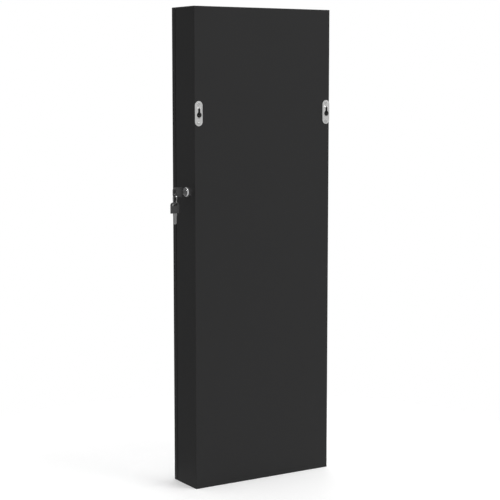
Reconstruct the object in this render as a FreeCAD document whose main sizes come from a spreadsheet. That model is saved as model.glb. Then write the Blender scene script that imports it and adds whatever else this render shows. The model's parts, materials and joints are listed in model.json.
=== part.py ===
"""Wall-hung jewelry mirror cabinet, in millimetres.

+X is right seen from the front, the mirror faces -Y, the wall is at +Y and +Z is up. The origin is midway
between the keyholes of the two hanger plates, on the plane that touches the wall.
"""

import FreeCAD, Part
import os
import re
import Sketcher

V = FreeCAD.Vector
Turn = FreeCAD.Rotation

# Driving dimensions. Each becomes a named cell of the sheet.
SIZES = {
    # case
    "case_width": 300,
    "case_height": 900,
    "side_sheet": 15,
    "end_sheet": 12,
    "side_depth": 68.5,
    "back_sheet": 3,
    "edge_round": 1,
    "lining_sheet": 1,
    "lining_play": 1,
    "dowel_radius": 4,
    "dowel_length": 30,
    "dowel_depth": 10,
    "dowel_inset": 16,
    # wall hangers
    "hanger_drop": 195,
    "hanger_width": 16,
    "hanger_length": 46,
    "hanger_sheet": 1,
    "hanger_emboss": 1.5,
    "emboss_width": 13.4,
    "keyhole_below": 2.5,
    "keyhole_radius": 5,
    "keyslot_radius": 2.1,
    "keyslot_rise": 10.3,
    "keyhole_rim": 1.7,
    "pocket_depth": 6,
    "hanger_screw_reach": 18,
    # screws: a pan head for the plates and brackets, a flat head for the hinges
    "pan_head_radius": 2.75,
    "pan_head_height": 1.2,
    "flat_head_radius": 2.4,
    "flat_head_depth": 1.2,
    "screw_radius": 1.3,
    "screw_tip": 2,
    "long_screw": 12,
    "hinge_screw": 9,
    "short_screw": 4.2,
    # door
    "door_gap": 1.5,
    "frame_width": 24,
    "frame_lip": 4,
    "frame_lap": 6,
    "frame_bevel": 2,
    "glass_sheet": 3,
    "backing_sheet": 5,
    "glass_play": 0.5,
    "door_lining_inset": 34,
    "door_lining_drop": 32,
    # hinges
    "hinge_height": 50,
    "hinge_drop": 75,
    "hinge_leaf": 12,
    "hinge_sheet": 0.7,
    "hinge_stand": 2.7,
    "knuckle_radius": 2.4,
    "knuckle_gap": 0.3,
    "pin_radius": 1.2,
    "pin_play": 0.05,
    "pin_head_radius": 1.9,
    "pin_head_height": 0.8,
    "hinge_screw_inset": 6.5,
    "hinge_screw_reach": 16,
    # door fittings
    "earring_width": 210,
    "earring_height": 310,
    "earring_sheet": 3,
    "earring_drop": 138,
    "earring_stand": 6,
    "standoff_radius": 4,
    "standoff_inset": 12,
    "slot_width": 2,
    "slot_height": 8,
    "slot_pitch_across": 13,
    "slot_pitch_down": 40,
    "door_rail_width": 210,
    "door_rail_height": 18,
    "door_rail_sheet": 8,
    "door_rail_drop": 48,
    "door_hook_pitch": 28,
    "bumper_radius": 4,
    "bumper_height": 1.2,
    "bumper_inset": 30,
    # hooks
    "hook_radius": 1.5,
    "hook_arm": 9,
    "hook_bend": 3,
    "hook_tip": 3,
    "hook_flange_radius": 3.6,
    "hook_flange_height": 1,
    # lock
    "lock_setback": 28,
    "lock_drop": 340,
    "flange_radius": 9.3,
    "flange_height": 5,
    "flange_bevel": 0.8,
    "barrel_radius": 7.9,
    "barrel_out": 4,
    "recess_radius": 7.28,
    "recess_depth": 3,
    "plug_radius": 6,
    "plug_play": 0.08,
    "plug_head_radius": 7.2,
    "plug_head_sink": 0.5,
    "plug_end_play": 0.3,
    "nut_radius": 11,
    "nut_height": 3,
    "tail_side": 5.6,
    "cam_sheet": 2,
    "cam_width": 14,
    "cam_reach": 40,
    "cam_corner": 2.5,
    "cam_hub_radius": 9,
    "cam_play": 0.1,
    "hook_run_radius": 33.5,
    "hook_pin_play": 0.5,
    "cam_screw_head": 4,
    "cam_screw_height": 1.8,
    "cam_screw_radius": 1.5,
    "cam_screw_length": 7,
    # keeper on the door
    "keeper_sheet": 2,
    "keeper_base": 13.5,
    "keeper_height": 32,
    "keeper_ear": 12,
    "keeper_pin_radius": 2,
    "keeper_rim": 4,
    "keeper_wall_gap": 1.5,
    "keeper_screw_reach": 11,
    # keys
    "key_gap": 5.7,
    "bow_length": 20.6,
    "bow_width": 18.3,
    "bow_sheet": 3.2,
    "bow_round": 5,
    "bow_edge": 0.6,
    "bow_bar": 2,
    "bow_slot": 4.4,
    "bow_slot_length": 10,
    "blade_sheet": 2.2,
    "shoulder_width": 7,
    "shoulder_length": 5,
    "blade_width": 5.6,
    "blade_length": 20.3,
    "blade_tip": 2,
    "tang_length": 6,
    "cut_pitch": 2.3,
    "cut_depth": 1.2,
    "keyway_play": 0.15,
    "keyway_floor": 0.6,
    "ring_radius": 9,
    "ring_wire": 0.85,
    "ring_hang": 5.3,
    "ring_seat": 0.3,
    "ring_turn": 8,
    # inside the case
    "ring_bay": 100,
    "necklace_bay": 340,
    "bracelet_bay": 110,
    "floor_bay_extra": 10,
    "shelf_sheet": 8,
    "shelf_depth": 44,
    "shelf_play": 0.2,
    "shelf_pin_radius": 2.5,
    "shelf_pin_length": 18,
    "shelf_pin_depth": 10,
    "shelf_pin_inset": 8,
    "guard_height": 22,
    "guard_sheet": 4,
    "cushion_width": 240,
    "cushion_height": 84,
    "cushion_drop": 8,
    "cushion_base": 10,
    "roll_radius": 5.6,
    "roll_pitch": 12,
    "necklace_rail_height": 18,
    "necklace_rail_sheet": 8,
    "necklace_rail_drop": 8,
    "necklace_hook_pitch": 27,
    "rod_radius": 6,
    "rod_drop": 45,
    "rod_stand": 26,
    "rod_play": 0.1,
    "socket_radius": 9,
    "socket_length": 6,
    # magnetic catch
    "catch_width": 40,
    "catch_height": 12,
    "catch_depth": 14,
    "catch_setback": 55,
    "catch_seat": 0.3,
    "magnet_width": 22,
    "magnet_height": 6,
    "magnet_depth": 8,
    "catch_screw_reach": 15,
    "strike_sheet": 1,
    "strike_width": 30,
    "strike_height": 10,
}

# Places worked out from the driving dimensions.
PLACES = {
    "half_width": "case_width / 2",
    "inner_half": "half_width - side_sheet",
    "plate_back": "-(hanger_sheet + hanger_emboss)",
    "shell_back": "plate_back - back_sheet",
    "lining_front": "shell_back - lining_sheet",
    "case_front": "shell_back - side_depth",
    "door_back": "case_front - door_gap",
    "door_thick": "frame_lip + glass_sheet + backing_sheet",
    "door_front": "door_back - door_thick",
    "top_z": "hanger_drop + keyhole_below",
    "base_z": "top_z - case_height",
    "middle_z": "top_z - case_height / 2",
    "inner_top": "top_z - end_sheet",
    "inner_base": "base_z + end_sheet",
    "hanger_x": "half_width - hanger_width / 2",
    "emboss_reach": "keyslot_rise + keyslot_radius + keyhole_rim",
    "emboss_length": "emboss_reach + emboss_width / 2",
    "emboss_middle": "(emboss_reach - emboss_width / 2) / 2",
    "door_lining_front": "door_back + lining_sheet",
    "hinge_x": "-half_width - hinge_stand",
    "hinge_y": "case_front - door_gap / 2",
    "knuckle_height": "(hinge_height - 2 * knuckle_gap) / 3",
    "lock_y": "plate_back - lock_setback",
    "lock_z": "top_z - lock_drop",
    "barrel_end": "side_sheet + barrel_out",
    "cam_end": "barrel_end + plug_end_play + cam_sheet",
    "hook_inner": "hook_run_radius - keeper_pin_radius - hook_pin_play",
    "hook_outer": "hook_run_radius + keeper_pin_radius + hook_pin_play",
    "keeper_x": "inner_half - keeper_wall_gap - keeper_base",
    "keeper_y": "lock_y - hook_run_radius",
    "key_x": "half_width + flange_height + key_gap",
    "slot_middle": "bow_length - bow_bar - bow_slot / 2",
    "bow_arm": "(bow_slot_length + bow_width) / 4",
    "ring_x": "key_x + slot_middle",
    "ring_z": "lock_z - bow_arm - ring_hang",
    "spare_z": "ring_z - ring_radius + ring_wire + ring_seat - (bow_length - bow_bar)",
    "shelf_front": "lining_front - shelf_depth",
    "fixed_bays": "ring_bay + necklace_bay + bracelet_bay + 5 * shelf_sheet",
    "tray_bay": "(inner_top - inner_base - (fixed_bays) - floor_bay_extra) / 3",
    "catch_front": "door_back + strike_sheet + catch_seat",
    "catch_place": "inner_half - catch_setback",
    "catch_x": "catch_place - catch_width / 2",
    "earring_back": "door_lining_front + earring_stand",
    "earring_top": "top_z - earring_drop",
    "rod_y": "lining_front - rod_stand",
}

HINGES = ("top_z - hinge_drop", "middle_z", "base_z + hinge_drop")
# The bays above the five shelves. The two tray bays share what the others leave with the floor's bay.
BAYS = ("ring_bay", "necklace_bay", "bracelet_bay", "tray_bay", "tray_bay")
ENDS = (-1, 1)
DOOR_HOOKS = 7
NECKLACE_HOOKS = 9
CUSHION_ROLLS = 7
SLOT_ROWS = 7
SLOT_COLUMNS = 15
KEY_CUTS = (0.5, 1, 0.3, 0.8, 0.6)  # depth of each cut in the blade, as a share of the deepest
NOTCH_BACK = 5  # degrees that the cam's hook mouth runs behind its middle line
NOTCH_MOUTH = 16  # degrees that it runs forward, out through the leading edge
MARGIN = 1  # how far a cutting tool runs past the face that it cuts through
HEAD_CROWN = 0.75  # a screw head's flat crown, as a share of its radius
HEAD_RIM = 0.4  # a screw head's upright rim, as a share of its height
CUT_MOUTH = 0.45  # half the width of a cut in the blade at its mouth, as a share of the pitch
CUT_FLOOR = 0.1  # half its width at its floor

# A turn that points a cylinder, drawn along +Z, in each direction.
ALONG = {
    "+x": Turn(V(0, 1, 0), 90),
    "-x": Turn(V(0, 1, 0), -90),
    "+y": Turn(V(1, 0, 0), -90),
    "-y": Turn(V(1, 0, 0), 90),
    "+z": Turn(),
    "-z": Turn(V(1, 0, 0), 180),
}

doc = FreeCAD.newDocument("jewelry_cabinet")
sheet = doc.addObject("Spreadsheet::Sheet", "Sizes")
for row, (alias, number) in enumerate(SIZES.items(), start=1):
    sheet.set(f"A{row}", str(number))
    sheet.setAlias(f"A{row}", alias)
doc.recompute()

nodes = []


def formula(text):
    """Spell a formula of size and place names out in the sheet's cells."""

    def spell(match):
        word = match.group()
        if word in PLACES:
            return "(" + formula(PLACES[word]) + ")"
        return "Sizes." + word if word in SIZES else word

    return re.sub(r"[a-z][a-z_]+", spell, str(text))


def value(text):
    return float(sheet.evalExpression(formula(text)))


def bind(thing, **sizes):
    for name, text in sizes.items():
        thing.setExpression(name, formula(text))
    return thing


def place(thing, x=0, y=0, z=0, turn=None):
    """Set a thing's place from formulas, with a fixed turn."""
    thing.Placement = FreeCAD.Placement(V(), turn or Turn())
    for axis, text in (("x", x), ("y", y), ("z", z)):
        thing.setExpression("Placement.Base." + axis, formula(text))
    return thing


def node(thing, label):
    """Keep a thing as a sub-part of the cabinet, under its own label."""
    thing.Label = label
    nodes.append(thing)
    return thing


def box(name, x, y, z, width, depth, height):
    """A box from its lowest corner."""
    slab = doc.addObject("Part::Box", name)
    bind(slab, Length=width, Width=depth, Height=height)
    return place(slab, x, y, z)


def rod(name, x, y, z, radius, length, along):
    bar = doc.addObject("Part::Cylinder", name)
    bind(bar, Radius=radius, Height=length)
    return place(bar, x, y, z, ALONG[along])


def cut(name, base, *tools):
    """Take tools that lie clear of each other out of a base."""
    less = doc.addObject("Part::Cut", name)
    less.Base = base
    less.Tool = tools[0] if len(tools) == 1 else group(name + "_tools", tools)
    return less


def fuse(name, *shapes):
    joined = doc.addObject("Part::MultiFuse", name)
    joined.Shapes = list(shapes)
    joined.Refine = True
    return joined


def group(name, shapes):
    """Separate solids held as one thing."""
    together = doc.addObject("Part::Compound", name)
    together.Links = list(shapes)
    return together


def copies(name, source, spots):
    """A group of copies of a source, one at each spot: x, y, z and a turn."""
    links = []
    for number, (x, y, z, turn) in enumerate(spots, start=1):
        link = doc.addObject("App::Link", f"{name}_copy_{number}")
        link.LinkedObject = source
        link.LinkTransform = False
        links.append(place(link, x, y, z, turn))
    return group(name, links)


def outline(body, plane, points, name="outline"):
    """A closed sketch on one of a body's origin planes, each corner held by two formulas."""
    sketch = body.newObject("Sketcher::SketchObject", name)
    support = next(o for o in body.Origin.OriginFeatures if o.Role == plane)
    sketch.AttachmentSupport = [(support, "")]
    sketch.MapMode = "FlatFace"
    corners = [V(value(across), value(up), 0) for across, up in points]
    for start, end in zip(corners, corners[1:] + corners[:1]):
        sketch.addGeometry(Part.LineSegment(start, end), False)
    for line in range(len(points)):
        sketch.addConstraint(Sketcher.Constraint("Coincident", line, 2, (line + 1) % len(points), 1))
    for line, (corner, texts) in enumerate(zip(corners, points)):
        for kind, number, text in (("DistanceX", corner.x, texts[0]), ("DistanceY", corner.y, texts[1])):
            held = sketch.addConstraint(Sketcher.Constraint(kind, -1, 1, line, 1, number))
            sketch.setExpression(f"Constraints[{held}]", formula(text))
    doc.recompute()
    return sketch


def padded(name, plane, points, thick, midplane=False):
    """A body padded from an outline."""
    body = doc.addObject("PartDesign::Body", name)
    sketch = outline(body, plane, points)
    pad = body.newObject("PartDesign::Pad", "pad")
    pad.Profile = sketch
    pad.Midplane = midplane
    bind(pad, Length=thick)
    doc.recompute()
    return body


def turned(name, points, plane="XZ_Plane", axis="V_Axis"):
    """A body turned from a half outline about one axis of its sketch."""
    body = doc.addObject("PartDesign::Body", name)
    sketch = outline(body, plane, points)
    lathe = body.newObject("PartDesign::Revolution", "lathe")
    lathe.Profile = sketch
    lathe.ReferenceAxis = (sketch, [axis])
    lathe.Angle = 360
    doc.recompute()
    return body


def near(a, b):
    return abs(a - b) < 1e-6


def rounded(body, feature, radius, chosen):
    """Round the edges of a feature whose middle point is chosen."""
    shape = feature.Shape
    names = []
    for number, edge in enumerate(shape.Edges, start=1):
        middle = edge.valueAt((edge.FirstParameter + edge.LastParameter) / 2)
        if chosen(middle):
            names.append(f"Edge{number}")
    fillet = body.newObject("PartDesign::Fillet", "rounding")
    fillet.Base = (feature, names)
    bind(fillet, Radius=radius)
    doc.recompute()
    return fillet


def slab_body(name, width, depth, height):
    """A body that holds one box, to be rounded."""
    body = doc.addObject("PartDesign::Body", name)
    slab = body.newObject("PartDesign::AdditiveBox", "slab")
    bind(slab, Length=width, Width=depth, Height=height)
    doc.recompute()
    return body, slab


def stadium(name, x, y, z, width, length, thick):
    """An upright plate with round ends, from its middle, thick towards +Y."""
    run = f"({length}) - ({width})"
    return fuse(
        name,
        box(name + "_web", f"({x}) - ({width}) / 2", y, f"({z}) - ({run}) / 2", width, thick, run),
        rod(name + "_head", x, y, f"({z}) + ({run}) / 2", f"({width}) / 2", thick, "+y"),
        rod(name + "_foot", x, y, f"({z}) - ({run}) / 2", f"({width}) / 2", thick, "+y"),
    )


def screw(name, length, flat):
    """A screw that points down -Z, with its head's seat at z = 0, or a flat head's top there."""
    if flat:
        head = [
            ("0", "0"),
            ("flat_head_radius", "0"),
            ("screw_radius", "-flat_head_depth"),
        ]
    else:
        head = [
            ("0", "pan_head_height"),
            (f"pan_head_radius * {HEAD_CROWN}", "pan_head_height"),
            ("pan_head_radius", f"pan_head_height * {HEAD_RIM}"),
            ("pan_head_radius", "0"),
            ("screw_radius", "0"),
        ]
    shank = [
        ("screw_radius", f"screw_tip - {length}"),
        ("0", f"-{length}"),
    ]
    return turned(name, head + shank)


def hook(name):
    """A bent hook that stands out along -Y from its flange and turns up at its tip."""
    elbow_turn = Turn(V(0, 0, -1), V(0, -1, 0), V(-1, 0, 0), "ZXY")
    elbow = doc.addObject("Part::Torus", name + "_elbow")
    elbow.Angle3 = 90
    bind(elbow, Radius1="hook_bend", Radius2="hook_radius")
    place(elbow, 0, "-hook_arm", "hook_bend", elbow_turn)
    knob = doc.addObject("Part::Sphere", name + "_knob")
    bind(knob, Radius="hook_radius")
    place(knob, 0, "-hook_arm - hook_bend", "hook_bend + hook_tip")
    return fuse(
        name,
        rod(name + "_flange", 0, 0, 0, "hook_flange_radius", "hook_flange_height", "-y"),
        rod(name + "_arm", 0, 0, 0, "hook_radius", "hook_arm", "-y"),
        elbow,
        rod(name + "_tip", 0, "-hook_arm - hook_bend", "hook_bend", "hook_radius", "hook_tip", "+z"),
        knob,
    )


def spread(count, pitch):
    """Formulas for places evenly spread about the middle."""
    return [f"{number - (count - 1) / 2} * {pitch}" for number in range(count)]


# Screws that the boards and plates are drilled for
pan_screw = screw("pan_screw", "long_screw", flat=False)
short_screw = screw("short_pan_screw", "short_screw", flat=False)
flat_screw = screw("flat_screw", "hinge_screw", flat=True)


def hanger_parts():
    """Two embossed keyhole plates, their screws, and the pockets behind them for the wall screws' heads."""
    plate_z = "top_z - hanger_drop"
    screw_spots = [(0, "plate_back + hanger_sheet", f"{plate_z} + {end} * hanger_screw_reach", ALONG["+y"])
                   for end in ENDS]
    one_plate_screws = copies("hanger_plate_holes", pan_screw, screw_spots)
    foot = stadium("hanger_foot", 0, "plate_back", plate_z, "hanger_width", "hanger_length", "hanger_sheet")
    dome = stadium("hanger_dome", 0, "plate_back", "emboss_middle", "emboss_width", "emboss_length",
                   "-plate_back")
    inside = "emboss_width - 2 * hanger_sheet"
    inside_length = "emboss_length - 2 * hanger_sheet"
    hollow = stadium("hanger_hollow", 0, f"plate_back - {MARGIN}", "emboss_middle", inside, inside_length,
                     f"hanger_emboss + {MARGIN}")
    through = f"hanger_sheet + hanger_emboss + 2 * {MARGIN}"
    keyhole = fuse(
        "keyhole",
        rod("keyhole_round", 0, f"plate_back - {MARGIN}", 0, "keyhole_radius", through, "+y"),
        box("keyhole_slot", "-keyslot_radius", f"plate_back - {MARGIN}", 0,
            "2 * keyslot_radius", through, "keyslot_rise"),
        rod("keyhole_end", 0, f"plate_back - {MARGIN}", "keyslot_rise", "keyslot_radius", through, "+y"),
    )
    shell = cut("hanger_shell", fuse("hanger_blank", foot, dome), fuse("hanger_void", hollow, keyhole))
    plate = cut("hanger_plate", shell, one_plate_screws)
    pocket = stadium("hanger_pocket", 0, "shell_back - pocket_depth", "emboss_middle", inside,
                     inside_length, f"back_sheet + pocket_depth + {MARGIN}")
    sides = [(f"{side} * hanger_x", 0, 0, None) for side in ENDS]
    node(copies("hanger_plates", plate, sides), "hanger_plates")
    screws = node(copies("hanger_screws", one_plate_screws, sides), "hanger_screws")
    return screws, copies("hanger_pockets", pocket, sides)


def dowel_parts():
    """Dowels that join the top and bottom panels to the sides, two at each corner."""
    dowel = rod("dowel", "-dowel_length / 2", 0, 0, "dowel_radius", "dowel_length", "+x")
    middle = "inner_half + dowel_depth - dowel_length / 2"
    depths = ("shell_back - dowel_inset", "case_front + dowel_inset")
    heights = ("top_z - end_sheet / 2", "base_z + end_sheet / 2")
    spots = [(f"{side} * ({middle}) - dowel_length / 2", y, z, ALONG["+x"])
             for side in ENDS for y in depths for z in heights]
    return node(copies("case_dowels", dowel, spots), "case_dowels")


def shelf_levels():
    """The height of each shelf's underside."""
    level, undersides = "inner_top", []
    for bay in BAYS:
        level = f"({level} - {bay} - shelf_sheet)"
        undersides.append(level)
    return undersides


def shelf_parts():
    """Shelves on pins, each with a guard strip from the third one down, and one on the floor."""
    pin = rod("shelf_pin", 0, 0, 0, "shelf_pin_radius", "shelf_pin_length", "+x")
    spots = []
    for number, underside in enumerate(shelf_levels(), start=1):
        shelf = box(f"shelf_{number}", "-inner_half + shelf_play", "shelf_front", underside,
                    "2 * (inner_half - shelf_play)", "shelf_depth", "shelf_sheet")
        node(shelf, f"shelf_{number}")
        for side in ENDS:
            x = f"{side} * (inner_half + shelf_pin_depth - shelf_pin_length / 2) - shelf_pin_length / 2"
            for y in ("shelf_front + shelf_pin_inset", "lining_front - shelf_pin_inset"):
                spots.append((x, y, f"{underside} - shelf_pin_radius", ALONG["+x"]))
        if number > 2:
            guard(number - 2, underside)
    guard(len(BAYS) - 1, "inner_base")
    return node(copies("shelf_pins", pin, spots), "shelf_pins")


def guard(number, foot):
    """A strip along the front of a shelf that keeps small things on it."""
    strip = box(f"guard_strip_{number}", "-inner_half + shelf_play", "shelf_front - guard_sheet", foot,
                "2 * (inner_half - shelf_play)", "guard_sheet", "guard_height")
    node(strip, f"guard_strip_{number}")


def hinge_parts():
    """Three butt hinges on the left: a leaf on the case with two knuckles, one on the door with one."""
    third = "(knuckle_height + knuckle_gap)"
    half = "hinge_height / 2"
    bore = "pin_radius + pin_play"

    def knuckle(name, z, tall):
        return rod(name, 0, 0, z, "knuckle_radius", tall, "+z")

    def leaf(name, y, zones):
        plate = box(name + "_plate", "hinge_stand", y, f"-{half}", "hinge_leaf", "hinge_sheet", "hinge_height")
        pieces = [plate]
        for number, z in enumerate(zones, start=1):
            tag = f"{name}_{number}"
            pieces.append(knuckle(tag + "_knuckle", z, "knuckle_height"))
            pieces.append(box(tag + "_neck", "pin_radius + 2 * pin_play", y, z,
                              "hinge_stand", "hinge_sheet", "knuckle_height"))
        hole = rod(name + "_bore", 0, 0, f"-{half} - {MARGIN}", bore, f"hinge_height + 2 * {MARGIN}",
                   "+z")
        return cut(name + "_bored", fuse(name + "_blank", *pieces), hole)

    screw_x = "hinge_stand + hinge_screw_inset"
    case_y = "door_gap / 2 - hinge_sheet"
    door_y = "-door_gap / 2"
    case_screws = copies("hinge_case_pair", flat_screw, [
        (screw_x, case_y, f"{end} * hinge_screw_reach", ALONG["-y"]) for end in ENDS])
    door_screws = copies("hinge_door_pair", flat_screw, [
        (screw_x, f"{door_y} + hinge_sheet", f"{end} * hinge_screw_reach", ALONG["+y"]) for end in ENDS])
    case_leaf = cut("case_leaf", leaf("case_hinge", case_y, (f"-{half}", f"{half} - knuckle_height")),
                    case_screws)
    door_leaf = cut("door_leaf", leaf("door_hinge", door_y, (f"-{half} + {third}",)), door_screws)
    pin = fuse(
        "hinge_pin",
        rod("hinge_pin_shaft", 0, 0, f"-{half} - knuckle_gap", "pin_radius", "hinge_height + 2 * knuckle_gap",
            "+z"),
        rod("hinge_pin_head", 0, 0, f"{half} + knuckle_gap", "pin_head_radius", "pin_head_height", "+z"),
        rod("hinge_pin_foot", 0, 0, f"-{half} - knuckle_gap", "pin_head_radius", "pin_head_height", "-z"),
    )
    spots = [("hinge_x", "hinge_y", z, None) for z in HINGES]
    node(copies("hinge_case_leaves", case_leaf, spots), "hinge_case_leaves")
    node(copies("hinge_door_leaves", door_leaf, spots), "hinge_door_leaves")
    node(copies("hinge_pins", pin, spots), "hinge_pins")
    return (node(copies("hinge_case_screws", case_screws, spots), "hinge_case_screws"),
            node(copies("hinge_door_screws", door_screws, spots), "hinge_door_screws"))


def case_parts(hanger_screws, pockets, hinge_screws):
    """The back, sides, top and bottom, drilled for what goes into them, and the flocked lining."""
    dowels = dowel_parts()
    pins = shelf_parts()
    back, slab = slab_body("back_board", "case_width", "back_sheet", "case_height")
    rear = value("back_sheet")
    rounded(back, slab, "edge_round", lambda p: near(p.y, rear))
    place(back, "-half_width", "shell_back", "base_z")
    node(cut("case_back", back, pockets, hanger_screws), "case_back")

    lock_hole = rod("lock_hole", f"inner_half - {MARGIN}", "lock_y", "lock_z", "barrel_radius",
                    f"side_sheet + 2 * {MARGIN}", "+x")
    for side, name in zip(ENDS, ("case_side_left", "case_side_right")):
        board, slab = slab_body(name + "_board", "side_sheet", "side_depth", "case_height")
        outer = 0 if side < 0 else value("side_sheet")
        rounded(board, slab, "edge_round", lambda p: near(p.y, 0) and near(p.x, outer))
        place(board, "-half_width" if side < 0 else "inner_half", "case_front", "base_z")
        holes = [dowels, pins, pockets, hanger_screws]
        holes.append(hinge_screws if side < 0 else lock_hole)
        node(cut(name, board, *holes), name)

    catch_screws = catch_parts()
    for name, z, screws in (("case_top", "inner_top", [catch_screws]), ("case_bottom", "base_z", [])):
        board = box(name + "_board", "-inner_half", "case_front", z, "2 * inner_half", "side_depth",
                    "end_sheet")
        node(cut(name, board, dowels, *screws), name)

    lining = box("back_lining", "-inner_half + lining_play", "lining_front", "inner_base + lining_play",
                 "2 * (inner_half - lining_play)", "lining_sheet",
                 "inner_top - inner_base - 2 * lining_play")
    node(lining, "back_lining")


def catch_parts():
    """The magnetic catch under the top panel, with its magnet, and the strike plate on the door."""
    screws = copies("catch_screws", pan_screw, [
        (f"catch_place + {end} * catch_screw_reach", "catch_front + catch_depth / 2",
         "inner_top - catch_height", ALONG["-z"]) for end in ENDS])
    block = box("catch_block", "catch_x", "catch_front", "inner_top - catch_height", "catch_width",
                "catch_depth", "catch_height")
    magnet_z = "inner_top - (catch_height + magnet_height) / 2"
    magnet = box("catch_magnet", "catch_place - magnet_width / 2", "catch_front", magnet_z, "magnet_width",
                 "magnet_depth", "magnet_height")
    node(cut("catch_housing", block, magnet, screws), "catch_housing")
    node(magnet, "catch_magnet")
    strike = box("strike_plate", "catch_place - strike_width / 2", "door_back",
                 "inner_top - (catch_height + strike_height) / 2", "strike_width", "strike_sheet",
                 "strike_height")
    node(strike, "strike_plate")
    return node(screws, "catch_screws")


def door_parts(hinge_screws, keeper_screws):
    """The mitred frame with its mirror, backing board, lining and bumpers."""
    profile = [
        ("0", "door_back"),
        ("0", "door_front + edge_round"),
        ("edge_round", "door_front"),
        ("frame_width - frame_bevel", "door_front"),
        ("frame_width", "door_front + frame_bevel"),
        ("frame_width", "door_front + frame_lip"),
        ("frame_width - frame_lap", "door_front + frame_lip"),
        ("frame_width - frame_lap", "door_back"),
    ]
    for side, name in zip(ENDS, ("door_stile_left", "door_stile_right")):
        bar = padded(name + "_bar", "XY_Plane", [(f"{side} * (half_width - ({across}))", y)
                                                 for across, y in profile], "case_height")
        place(bar, 0, 0, "base_z")
        mitre = [
            (f"{side} * half_width", "base_z"),
            (f"{side} * half_width", "top_z"),
            (f"{side} * (half_width - frame_width)", "top_z - frame_width"),
            (f"{side} * (half_width - frame_width)", "base_z + frame_width"),
        ]
        node(cut(name, mitred(name, bar, mitre), hinge_screws), name)
    for level, side, name in (("base_z", 1, "door_rail_bottom"), ("top_z", -1, "door_rail_top")):
        bar = padded(name + "_bar", "YZ_Plane", [(y, f"{level} + {side} * ({across})")
                                                 for across, y in profile], "case_width")
        place(bar, "-half_width", 0, 0)
        mitre = [
            ("-half_width", level),
            ("half_width", level),
            ("half_width - frame_width", f"{level} + {side} * frame_width"),
            ("-half_width + frame_width", f"{level} + {side} * frame_width"),
        ]
        node(mitred(name, bar, mitre), name)

    inset = "frame_width - frame_lap + glass_play"
    span = (f"case_width - 2 * ({inset})", f"case_height - 2 * ({inset})")
    glass = box("mirror_glass", f"-half_width + {inset}", "door_front + frame_lip", f"base_z + {inset}",
                span[0], "glass_sheet", span[1])
    node(glass, "mirror_glass")
    backing = box("backing_board", f"-half_width + {inset}", "door_back - backing_sheet",
                  f"base_z + {inset}", span[0], "backing_sheet", span[1])
    node(cut("mirror_backing", backing, keeper_screws), "mirror_backing")
    lining = box("door_lining", "-half_width + door_lining_inset", "door_back",
                 "base_z + door_lining_drop", "case_width - 2 * door_lining_inset", "lining_sheet",
                 "case_height - 2 * door_lining_drop")
    node(lining, "door_lining")
    bumper = rod("bumper", 0, 0, 0, "bumper_radius", "bumper_height", "+y")
    spots = [("half_width - side_sheet / 2", "door_back", z, ALONG["+y"])
             for z in ("top_z - bumper_inset", "base_z + bumper_inset")]
    node(copies("door_bumpers", bumper, spots), "door_bumpers")


def mitred(name, bar, corners):
    """The stretch of a frame bar between its two mitre planes."""
    prism = padded(name + "_mitre", "XZ_Plane", corners, f"2 * door_thick + 2 * {MARGIN}", midplane=True)
    place(prism, 0, "door_back - door_thick / 2", 0)
    stretch = doc.addObject("Part::Common", name + "_stretch")
    stretch.Base = bar
    stretch.Tool = prism
    return stretch


def earring_parts():
    """The slotted earring panel on standoffs, and the hook rail above it."""
    board = box("earring_board", "-earring_width / 2", "earring_back", "earring_top - earring_height",
                "earring_width", "earring_sheet", "earring_height")
    slot = box("earring_slot", "-slot_width / 2", f"-{MARGIN}", "-slot_height / 2", "slot_width",
               f"earring_sheet + 2 * {MARGIN}", "slot_height")
    middle = "earring_top - earring_height / 2"
    spots = [(f"{x} - slot_width / 2", f"earring_back - {MARGIN}", f"{middle} + {z} - slot_height / 2", None)
             for x in spread(SLOT_COLUMNS, "slot_pitch_across") for z in spread(SLOT_ROWS, "slot_pitch_down")]
    node(cut("earring_panel", board, copies("earring_slots", slot, spots)), "earring_panel")
    post = rod("standoff", 0, 0, 0, "standoff_radius", "earring_stand", "+y")
    spots = [(f"{side} * (earring_width / 2 - standoff_inset)", "door_lining_front",
              f"{middle} + {end} * (earring_height / 2 - standoff_inset)", ALONG["+y"])
             for side in ENDS for end in ENDS]
    node(copies("earring_standoffs", post, spots), "earring_standoffs")
    rail = box("door_hook_rail", "-door_rail_width / 2", "door_lining_front",
               "top_z - door_rail_drop - door_rail_height", "door_rail_width", "door_rail_sheet",
               "door_rail_height")
    node(rail, "door_hook_rail")
    spots = [(x, "door_lining_front + door_rail_sheet", "top_z - door_rail_drop - door_rail_height / 2",
              Turn(V(0, 0, 1), 180)) for x in spread(DOOR_HOOKS, "door_hook_pitch")]
    node(copies("door_hooks", bent_hook, spots), "door_hooks")


def necklace_parts():
    """The hook rail under the first shelf and its row of hooks."""
    rail_z = f"{shelf_levels()[0]} - necklace_rail_drop - necklace_rail_height"
    rail = box("necklace_rail", "-inner_half + lining_play", "lining_front - necklace_rail_sheet", rail_z,
               "2 * (inner_half - lining_play)", "necklace_rail_sheet", "necklace_rail_height")
    node(rail, "necklace_rail")
    spots = [(x, "lining_front - necklace_rail_sheet", f"{rail_z} + necklace_rail_height / 2", None)
             for x in spread(NECKLACE_HOOKS, "necklace_hook_pitch")]
    node(copies("necklace_hooks", bent_hook, spots), "necklace_hooks")


def cushion_parts():
    """The ring cushion: a foam base with a row of rolls that grip the rings between them."""
    foot = "inner_top - cushion_drop - cushion_height"
    base = box("cushion_base", "-cushion_width / 2", "lining_front - cushion_base", foot, "cushion_width",
               "cushion_base", "cushion_height")
    rolls = [rod(f"cushion_roll_{number}", "-cushion_width / 2", "lining_front - cushion_base",
                 f"{foot} + cushion_height / 2 + {rise}", "roll_radius", "cushion_width", "+x")
             for number, rise in enumerate(spread(CUSHION_ROLLS, "roll_pitch"), start=1)]
    node(fuse("ring_cushion", base, *rolls), "ring_cushion")


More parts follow.
